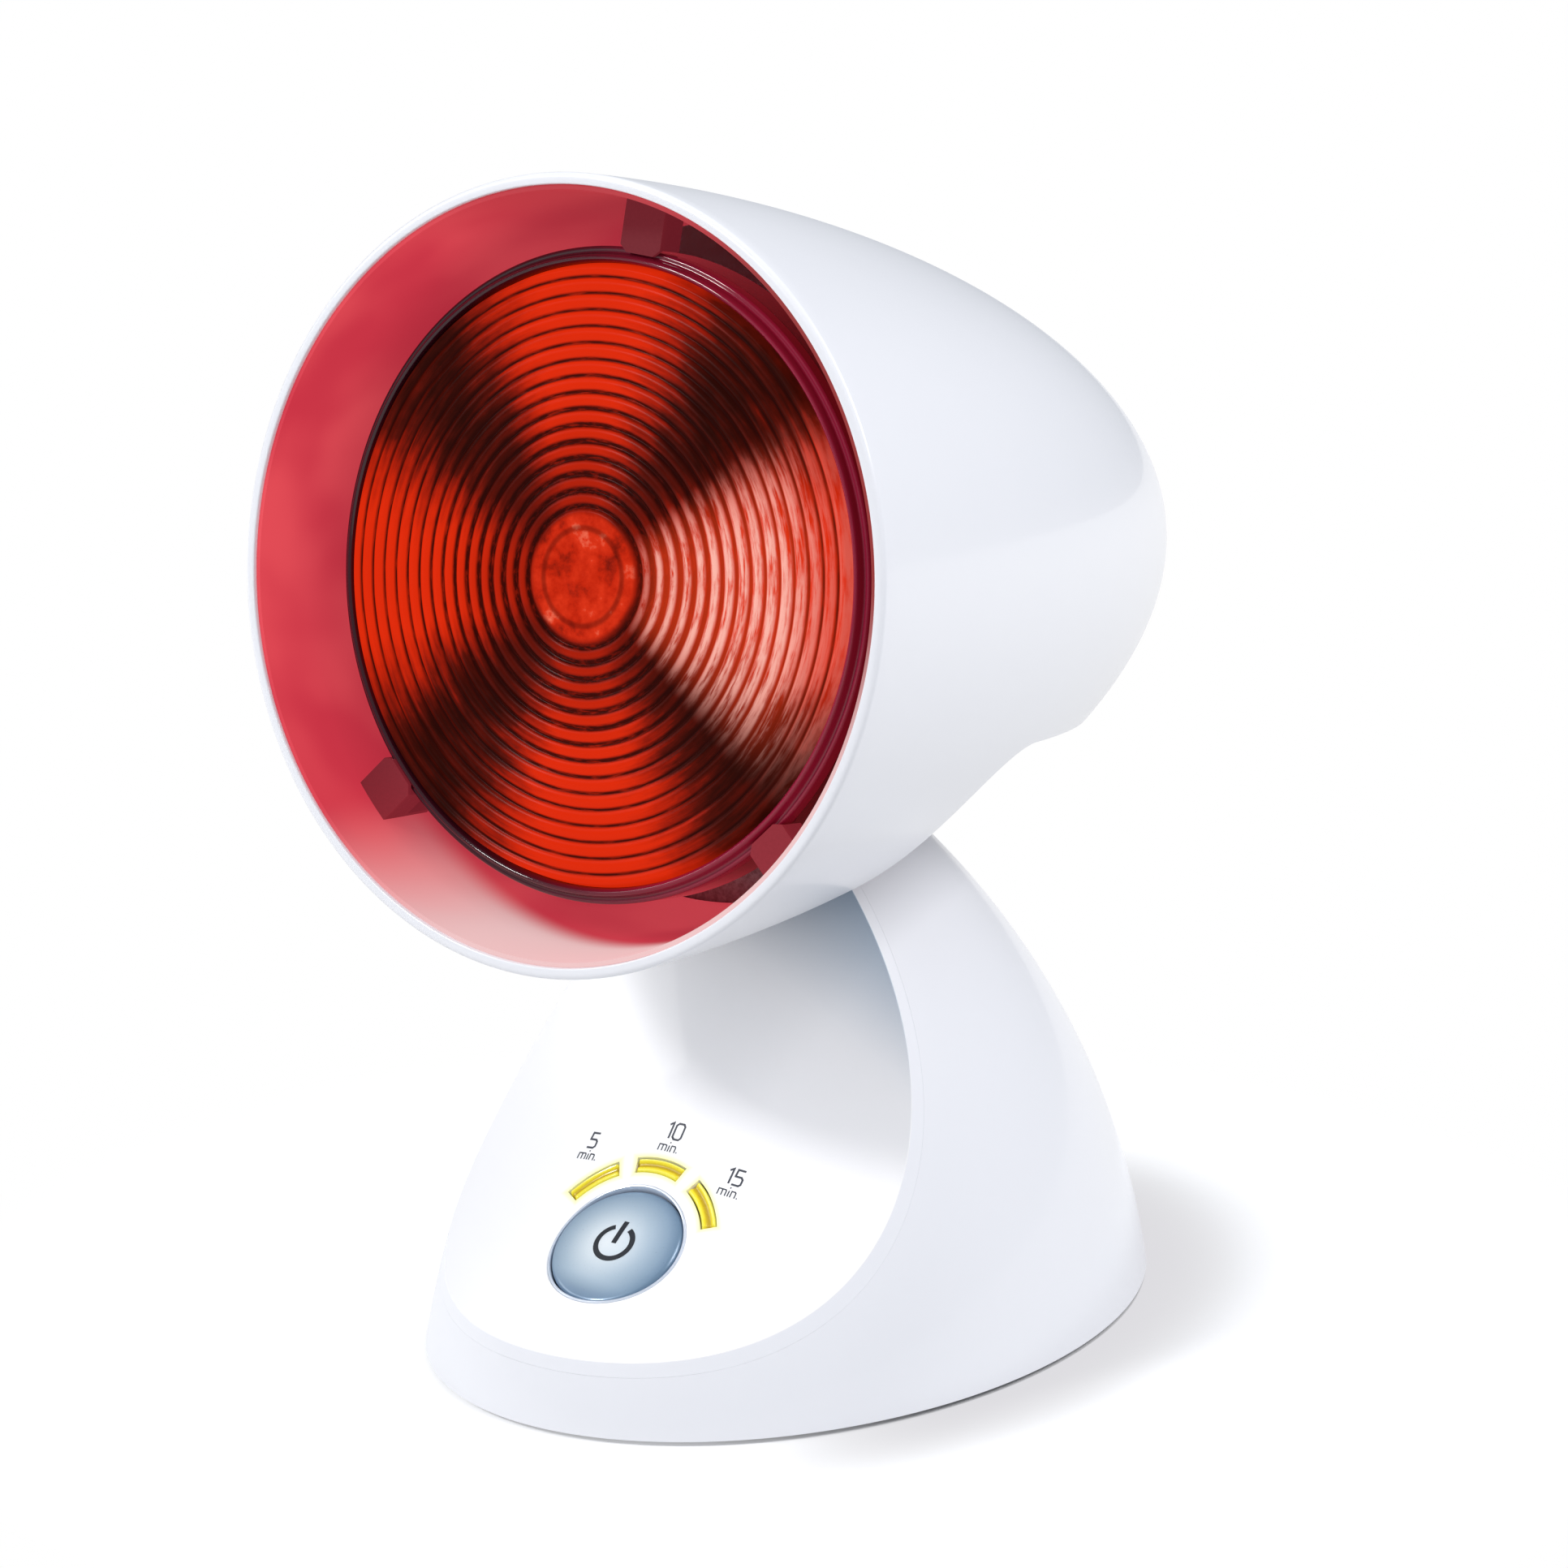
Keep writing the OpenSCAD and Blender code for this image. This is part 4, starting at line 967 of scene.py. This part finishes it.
bar_graph, bar_in = new_tree("Light bars on a ring", {
    "Radius": LIGHT_RADIUS * MM,
    "Width": 2 * LIGHT_HALF * MM,
    "Sweep": 0.593,
    "Step": 0.785,
    "Count": 3,
    "Groove": 0.5 * MM,
})
bar_grid = bar_graph.node("GeometryNodeMeshGrid", inputs={
    "Size X": 1.0,
    "Size Y": 1.0,
    "Vertices X": 15,
    "Vertices Y": 49,
})
gx, gy = bar_graph.split(bar_graph.node("GeometryNodeInputPosition"))[:2]
bar_radius = bar_in["Radius"] + gx * bar_in["Width"]
bar_angle = gy * bar_in["Sweep"]
# The groove is a V along the bar, and the ends and sides fall away as a bevel
groove = bar_in["Groove"] * (1 - bar_graph.step(bar_graph.maths("ABSOLUTE", gx - 0.05), 0.0, 0.3))
sides = bar_graph.step(bar_graph.maths("ABSOLUTE", gx), 0.40, 0.5)
ends = bar_graph.step(bar_graph.maths("ABSOLUTE", gy), 0.47, 0.5)
fall = bar_graph.largest(sides, ends) * 0.0016
bar_mesh = bar_graph.node("GeometryNodeSetPosition", inputs={
    "Geometry": bar_grid,
    "Position": bar_graph.combine(
        bar_radius * bar_graph.maths("SINE", bar_angle),
        bar_radius * bar_graph.maths("COSINE", bar_angle),
        0 - groove - fall,
    ),
})
places = bar_graph.node("GeometryNodeMeshLine", inputs={"Count": bar_in["Count"], "Offset": (0, 0, 0)})
index = bar_graph.wire(bar_graph.node("GeometryNodeInputIndex"))
spin = (index - (bar_in["Count"] - 1) / 2) * bar_in["Step"] * -1
copies = bar_graph.node("GeometryNodeInstanceOnPoints", inputs={
    "Points": places,
    "Instance": bar_mesh,
    "Rotation": bar_graph.combine(0, 0, spin),
})
bar_tree = finish_tree(bar_graph, copies, light_yellow.material)
bars = grow("time_lights", bar_tree, {"Sweep": math.radians(LIGHT_SWEEP)}, Matrix.Identity(4))
for v in bars.data.vertices:
    v.co.z += (panel_height(v.co.x / MM, v.co.y / MM) + BAR_LIFT) * MM
bars.data.transform(panel_place)
tidy(bars, 60)
dress(bars, light_yellow, "base", "light_yellow", "light_bar_5", "light_bar_10", "light_bar_15")

# %% [markdown]
# ## The power button
# The button is a shallow dome of satin blue-grey metal paint, in a thin pale ring that
# follows the panel's curve. Painted light makes it pale in the middle, turning steel blue
# at its edge, and painted shade darkens its lower edge.

# %% Button
BUTTON_RISE = 1.5
BALL_RADIUS = 60
FACE_RADII = (0.4, 1.5, 3, 4.5, 6, 7.5, 9, 10.2, 11.2, 12, 12.6)
EDGE_ROUND = 0.9
EDGE_DROP = 0.12
EDGE_STEPS = 5
ROOF = -0.6
SKIRT = [(13.5, -2.6), (11.7, -2.6), (11.7, ROOF), (0.4, ROOF)]
button_blue = Finish("satin blue metal paint")
spot = button_blue.place(panel_place)
px, pu = button_blue.split(spot)[:2]
away = button_blue.distance(px + 1.2, pu + 0.4)
flake = button_blue.noise(spot, 2.6, 4, 0.7)
# Painted light and shade of the dome: pale in the middle, steel blue at the edge
tone = button_blue.ramp(away / 14 + (flake - 0.5) * 0.05, [
    (0.0, colour(234, 241, 245)),
    (0.30, colour(216, 227, 234)),
    (0.62, colour(172, 191, 206)),
    (0.88, colour(134, 158, 180)),
    (1.0, colour(108, 135, 160)),
])
lower_shade = button_blue.step(pu + px * 0.1, -8, -13.5)
button_blue.set(
    Base_Color=button_blue.mix(lower_shade * 0.6, tone, colour(66, 98, 130)),
    Metallic=0.15,
    Roughness=flake * 0.1 + 0.24,
    Normal=button_blue.bump(flake, 0.004 * MM),
    Coat_Weight=0.3,
)


def button_height(r):
    """The button's face is part of a ball."""
    return BUTTON_RISE - BALL_RADIUS + math.sqrt(BALL_RADIUS ** 2 - r * r)


profile = [(r, button_height(r)) for r in FACE_RADII]
edge_radius, edge_height = profile[-1]
for k in range(1, EDGE_STEPS + 1):
    a = math.radians(90 * k / EDGE_STEPS)
    drop = EDGE_ROUND * (1 - math.cos(a))
    profile.append((edge_radius + EDGE_ROUND * math.sin(a), edge_height - drop - EDGE_DROP * k / EDGE_STEPS))
button = turn_profile("button_cap", profile + SKIRT, panel_place, 128, (button_height(0), ROOF))
dress(button, button_blue, "button", "button_blue", "power_button")

# %% [markdown]
# The ring's top stands a quarter of a millimetre over the panel all the way round, so
# its height is read from the panel's own surface.

# %% Button ring
ring_pale = Finish("pale ring plastic")
spot = ring_pale.place(panel_place)
rub = ring_pale.noise(spot, 1.2, 3)
ring_pale.set(
    Base_Color=ring_pale.mix(rub, colour(205, 214, 228), colour(222, 229, 240)),
    Metallic=0.3,
    Roughness=rub * 0.1 + 0.2,
    Coat_Weight=0.4,
)
RING_TOP = [(13.72, 0.05), (13.80, 0.2), (14.0, 0.27), (14.2, 0.2), (14.3, 0.02)]
RING_FOOT = -2.8
RING_COLUMNS = 160
rows = [[(*polar(RING_TOP[0][0], a), RING_FOOT) for a in full_turn(RING_COLUMNS)]]
for r, z in RING_TOP:
    circle = [polar(r, a) for a in full_turn(RING_COLUMNS)]
    rows.append([(x, y, z + panel_height(x, y)) for x, y in circle])
rows.append([(*polar(RING_TOP[-1][0], a), RING_FOOT) for a in full_turn(RING_COLUMNS)])
rows = [[Vector(point) * MM for point in row] for row in rows]
button_ring = turned_grid("button_ring", rows, panel_place, closed=True)
dress(button_ring, ring_pale, "base", "ring_pale", "button_frame")

# %% [markdown]
# ## Printed marks
# The digits are thin technical letters. Each is a few straight strokes, so a stroke
# becomes a flat ribbon with mitred corners, laid a hair over the surface that carries
# it. A font would need its outlines bent to the panel, which strokes avoid.

# %% Strokes
GLYPHS = {
    "0": [[
        (0.02, 0.14), (0.16, 0.0), (0.50, 0.0), (0.62, 0.14), (0.62, 0.86),
        (0.50, 1.0), (0.16, 1.0), (0.02, 0.86), (0.02, 0.14), (0.16, 0.0),
    ]],
    "1": [[(0.04, 0.84), (0.28, 1.0), (0.28, 0.0)]],
    "5": [[
        (0.60, 1.0), (0.08, 1.0), (0.05, 0.56), (0.48, 0.56),
        (0.60, 0.44), (0.60, 0.12), (0.48, 0.0), (0.0, 0.0),
    ]],
    "m": [
        [(0.0, 0.0), (0.0, 0.62), (0.34, 0.62), (0.42, 0.52), (0.42, 0.0)],
        [(0.34, 0.62), (0.74, 0.62), (0.82, 0.52), (0.82, 0.0)],
    ],
    "i": [[(0.0, 0.0), (0.0, 0.62)], [(0.0, 0.84), (0.0, 0.98)]],
    "n": [[(0.0, 0.0), (0.0, 0.62), (0.36, 0.62), (0.46, 0.52), (0.46, 0.0)]],
    ".": [[(0.0, 0.0), (0.0, 0.12)]],
}
ADVANCE = {"0": 0.86, "1": 0.50, "5": 0.84, "m": 1.10, "i": 0.28, "n": 0.72, ".": 0.2}
LETTER_GAP = 0.24
LONGEST_STRETCH = 0.8


def ribbon(line, width):
    """Left and right edges of a line of points, with mitred corners."""
    pairs = []
    for i, p in enumerate(line):
        p = Vector(p)
        before = (p - Vector(line[i - 1])).normalized() if i > 0 else None
        after = (Vector(line[i + 1]) - p).normalized() if i < len(line) - 1 else None
        before = before or after
        after = after or before
        along = (before + after).normalized()
        normal = Vector((-along.y, along.x))
        half = width / 2 / max(0.5, normal.dot(Vector((-after.y, after.x))))
        pairs.append((p + normal * half, p - normal * half))
    return pairs


def finer(line):
    """Adds points so that no stretch is longer than the longest allowed."""
    made = [line[0]]
    for pair in zip(line, line[1:]):
        start, end = map(Vector, pair)
        count = max(1, math.ceil((end - start).length / LONGEST_STRETCH))
        made += [tuple(start.lerp(end, k / count)) for k in range(1, count + 1)]
    return made


def strokes(name, lines, width, height_at):
    points = []
    faces = []
    for line in lines:
        start = len(points)
        for pair in ribbon(finer(line), width):
            points += [Vector((edge.x, edge.y, height_at(edge.x, edge.y))) * MM for edge in pair]
        faces += [(i, i + 1, i + 3, i + 2) for i in range(start, len(points) - 2, 2)]
    return tidy(new_piece(name, points, faces, panel_place))


def words(text, size, centre):
    """The strokes of a word, centred on a point of the panel."""
    lines = []
    x = 0.0
    for letter in text:
        lines += [[(x + px, py) for px, py in line] for line in GLYPHS[letter]]
        x += ADVANCE[letter]
    middle = (x - LETTER_GAP) / 2
    placed = []
    for line in lines:
        placed.append([(centre[0] + (px - middle) * size, centre[1] + (py - 0.5) * size) for px, py in line])
    return placed


def printing_ink(name, dark, worn, rough):
    ink = Finish(name)
    wear = ink.noise(ink.place(panel_place), 3.0, 3)
    ink.set(Base_Color=ink.mix(wear, dark, worn), Roughness=wear * 0.2 + rough)
    return ink


# %% [markdown]
# The print is dark ink: a very dark blue-grey with a touch of wear in its gloss.

# %% Printed time scale
PANEL_INK_LIFT = 0.03
BUTTON_INK_LIFT = 0.04
DIGITS = [("5", 3.2, (-18.2, 21.5)), ("10", 3.3, (-0.2, 26.3)), ("15", 3.2, (16.7, 20.4))]
UNITS = [("min.", 2.1, (-18.0, 18.3)), ("min.", 2.1, (-0.2, 23.0)), ("min.", 2.1, (16.7, 17.2))]


def over_panel(x, up_panel):
    return panel_height(x, up_panel) + PANEL_INK_LIFT


def over_button(x, up_panel):
    return button_height(math.hypot(x, up_panel)) + BUTTON_INK_LIFT


ink = printing_ink("dark printing ink", colour(38, 42, 52), colour(62, 66, 78), 0.35)
for name, marks, width in (("time_digits", DIGITS, 0.42), ("time_units", UNITS, 0.27)):
    lines = [line for mark in marks for line in words(*mark)]
    dress(strokes(name, lines, width, over_panel), ink, "base", "part_black")

# %% [markdown]
# The power sign is an open ring with a bar in its gap. It rides on the button, so that
# it goes down with it.

# %% Power sign
SIGN_X = 0.25
SIGN_Y = -0.2
SIGN_RADIUS = 3.8
SIGN_GAP = 26
SIGN_STEPS = 48
SIGN_BAR = (-0.2, 5.2)
sign_ink = printing_ink("black printing ink", colour(20, 24, 30), colour(36, 40, 48), 0.3)
open_ring = []
for k in range(SIGN_STEPS + 1):
    degrees = 90 + SIGN_GAP + k * (360 - 2 * SIGN_GAP) / SIGN_STEPS
    x, y = polar(SIGN_RADIUS, math.radians(degrees))
    open_ring.append((SIGN_X + x, SIGN_Y + y))
bar = [(SIGN_X, SIGN_Y + t) for t in SIGN_BAR]
power_sign = strokes("power_sign", [open_ring, bar], 1.1, over_button)
dress(power_sign, sign_ink, "button", "part_black")

# %% [markdown]
# ## Clips
# Three bent sheet-metal clips hold the lamp's edge. Their imported shape is already the
# real one, so they only need a finish: steel that takes on the red light of the wall behind
# it, painted into its colour and a faint painted glow, with painted shade up to the left
# and deeper in.

# %% Clips
red_lit_steel = Finish("heat-darkened spring steel")
spot = red_lit_steel.place(rim_place)
side, height, out = red_lit_steel.split(spot)
brushed = red_lit_steel.noise(spot, 1.5, 4, 0.6)
upper_left_shade = red_lit_steel.step(height - side, -20, 20)
clip_tone = red_lit_steel.mix(upper_left_shade, colour(190, 58, 70), colour(150, 46, 56))
deep_shade = red_lit_steel.step(out, -9, -15)
clip_tone = red_lit_steel.mix(deep_shade * 0.5, clip_tone, colour(80, 18, 32))
red_lit_steel.set(
    Base_Color=red_lit_steel.mix(0.7 + brushed * 0.2, clip_tone, (0, 0, 0)),
    Metallic=0.1,
    Roughness=brushed * 0.2 + 0.45,
    Normal=red_lit_steel.bump(brushed, 0.01 * MM),
    Specular_IOR_Level=0.15,
    Emission_Color=clip_tone,
    Emission_Strength=0.62,
)
paint(nodes["lamp_clips"], red_lit_steel.material)

# %% [markdown]
# ## Plain parts
# The other parts keep the shape they came with. Each gets the finish of its kind: a
# brushed or cast metal, rubber, board, ceramic or moulded plastic, always with a little
# wander in colour and gloss and a grain in its bump.

# %% Finishes for the plain parts
# By slot: name, darkest and palest tone, roughness, grain in mm, metal and coat
PLAIN = {
    "plate_grey": ("grey moulded plate", (188, 190, 195), (208, 210, 214), 0.45, 0.02, 0, 0),
    "dark_rubber": ("black rubber", (30, 30, 32), (46, 46, 48), 0.7, 0.03, 0, 0),
    "screw_steel": ("zinc-plated screw steel", (160, 163, 168), (200, 203, 208), 0.28, 0.008, 1.0, 0),
    "ballast_iron": ("cast iron", (84, 86, 90), (124, 126, 130), 0.6, 0.06, 0.8, 0),
    "board_green": ("green board", (14, 84, 42), (22, 108, 56), 0.35, 0.01, 0, 0.3),
    "led_cream": ("clear cream resin", (240, 232, 190), (250, 244, 214), 0.12, 0.004, 0, 0.5),
    "part_black": ("black moulding", (26, 26, 30), (42, 42, 46), 0.4, 0.015, 0, 0),
    "plunger_cream": ("cream nylon", (208, 202, 184), (224, 220, 204), 0.4, 0.01, 0, 0),
    "core_steel": ("varnished core steel", (78, 76, 78), (104, 102, 104), 0.45, 0.03, 0.7, 0.3),
    "relay_blue": ("blue moulding", (28, 62, 138), (40, 78, 158), 0.3, 0.008, 0, 0),
    "sleeve_black": ("black sleeve", (22, 26, 44), (36, 40, 60), 0.25, 0.006, 0, 0),
    "terminal_green": ("green nylon", (34, 112, 62), (52, 134, 80), 0.45, 0.015, 0, 0),
    "axle_steel": ("turned steel", (168, 170, 176), (204, 206, 210), 0.22, 0.006, 1.0, 0),
    "washer_brown": ("fibre washer", (74, 54, 40), (104, 78, 58), 0.7, 0.04, 0, 0),
    # The sheet's grey is tinted pink: painted red light from the lamp
    "chassis_steel": ("zinc-plated sheet", (124, 108, 114), (160, 146, 150), 0.5, 0.01, 0.7, 0),
    "bowl_red": ("mirrored red glass", (70, 10, 12), (110, 18, 20), 0.12, 0.004, 0.5, 0.5),
    "filament_grey": ("wire and glass", (190, 180, 160), (226, 218, 200), 0.3, 0.01, 0, 0),
    "cap_brass": ("brass", (176, 140, 70), (214, 180, 104), 0.25, 0.01, 1.0, 0),
    "socket_white": ("glazed ceramic", (228, 224, 212), (240, 237, 228), 0.18, 0.006, 0, 0.5),
}


def plain_finish(name, dark, pale, rough, grain, metal, coat):
    finish = Finish(name)
    mottle = finish.noise(finish.place(base_place), 1.2, 4, 0.6)
    finish.set(
        Base_Color=finish.mix(finish.step(mottle, 0.3, 0.7), colour(*dark), colour(*pale)),
        Metallic=metal,
        Roughness=mottle * 0.16 + rough - 0.08,
        Normal=finish.bump(mottle, grain * MM),
        Coat_Weight=coat,
    )
    return finish.material


plain = {slot: plain_finish(*look) for slot, look in PLAIN.items()}
hidden = set()
for piece in scene.objects:
    hidden.update(piece.get("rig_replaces", []))
slots = {part["node"]: part["material_slot"] for part in frame["record"]["subparts"]}
for name, part in nodes.items():
    if name not in hidden and slots[name] in plain:
        paint(part, plain[slots[name]])
print("plain parts dressed, parts replaced:", len(hidden))

# %% [markdown]
# ## Studio
# The photograph has a white room: a soft light high in front on the left, a broad window
# on the right, and dim cool light from all round. The floor shows near white to the
# camera and to reflections, and mixes in just enough of its own shading to keep a faint
# shadow. Far from the lamp it fades to plain white, so no horizon shows. The soft shade
# on the floor to the right of the base is painted by the floor's finish.

# %% Floor
FAR_START = 112
FAR_END = 185
OVAL_HALF_WIDTH = 64.9
OVAL_HALF_LENGTH = 89.3
FLOOR_SHARE = 0.40
FLOOR_HALF = 3.0
floor_white = Finish("white studio floor")
spot = floor_white.place(base_place)
fx, fy = floor_white.split(spot)[:2]
far = floor_white.step(floor_white.distance(fx, fy), FAR_START, FAR_END)
# 1 on the edge of the base's oval. The soft shade beside it lies to the right
from_base = floor_white.distance(fx / OVAL_HALF_WIDTH, fy / OVAL_HALF_LENGTH)
under = 1 - floor_white.step(from_base, 0.993, 1.0)
beside = floor_white.step(fx * 0.9 + fy * 0.25, 0, 50) * (1 - floor_white.step(from_base, 0.98, 1.5))
seen = floor_white.rays("Is Camera Ray", "Is Glossy Ray", "Is Transmission Ray")
seen_white = seen * (1 - beside)
floor_white.set(
    Base_Color=floor_white.mix(seen_white, (0.6, 0.6, 0.6), (0.94, 0.95, 0.97)),
    Roughness=0.9,
    Specular_IOR_Level=0.0,
    Emission_Color=floor_white.mix(seen_white, (0, 0, 0), (1, 1, 1)),
    Emission_Strength=0.3,
)
glow_tone = floor_white.mix(beside, (1.0, 1.0, 1.0), colour(222, 221, 225))
glow = floor_white.node("ShaderNodeEmission", inputs={"Color": glow_tone, "Strength": 1.0})
blend = floor_white.node("ShaderNodeMixShader", inputs={
    0: seen * floor_white.largest(far, FLOOR_SHARE, beside) * (1 - under),
    1: floor_white.shader,
    2: glow,
})
floor_white.feed(floor_white.output.inputs["Surface"], blend)
corners = [(x * FLOOR_HALF, y * FLOOR_HALF, 0) for x, y in ((-1, -1), (1, -1), (1, 1), (-1, 1))]
floor = new_piece("studio_floor", corners, [(0, 1, 2, 3)])
paint(floor, floor_white.material)

# %% World and lamps
world = bpy.data.worlds.new("studio")
scene.world = world
world.use_nodes = True
world.node_tree.nodes.clear()
sky = Graph(world.node_tree)
direct = sky.rays("Is Camera Ray", "Is Transmission Ray")
dim = sky.node("ShaderNodeBackground", inputs={"Color": (0.87, 0.925, 1.0), "Strength": 0.47})
full = sky.node("ShaderNodeBackground", inputs={"Color": (1, 1, 1), "Strength": 1.0})
both = sky.node("ShaderNodeMixShader", inputs={0: direct, 1: dim, 2: full})
sky.node("ShaderNodeOutputWorld", inputs={0: both})


def soft_lamp(name, place, aim, size, power, tint):
    data = bpy.data.lights.new(name, "AREA")
    data.shape = "RECTANGLE"
    data.size = size
    data.size_y = size
    data.energy = power
    data.color = tint
    lamp = bpy.data.objects.new(name, data)
    lamp.location = place
    lamp.rotation_euler = (Vector(aim) - Vector(place)).to_track_quat("-Z", "Y").to_euler()
    scene.collection.objects.link(lamp)


soft_lamp("key", (-0.73, -1.27, 1.07), (0, -0.02, 0.12), 0.26, 13.4, (1.0, 0.985, 0.975))
soft_lamp("window left", (-1.35, -0.84, 0.86), (0, 0, 0.12), 0.6, 4, (1.0, 0.99, 0.98))
soft_lamp("window right", (1.22, 0.22, 1.36), (0, 0, 0.12), 0.8, 18.4, (1.0, 0.985, 0.985))
scene.view_settings.view_transform = "Standard"
print("studio ready")
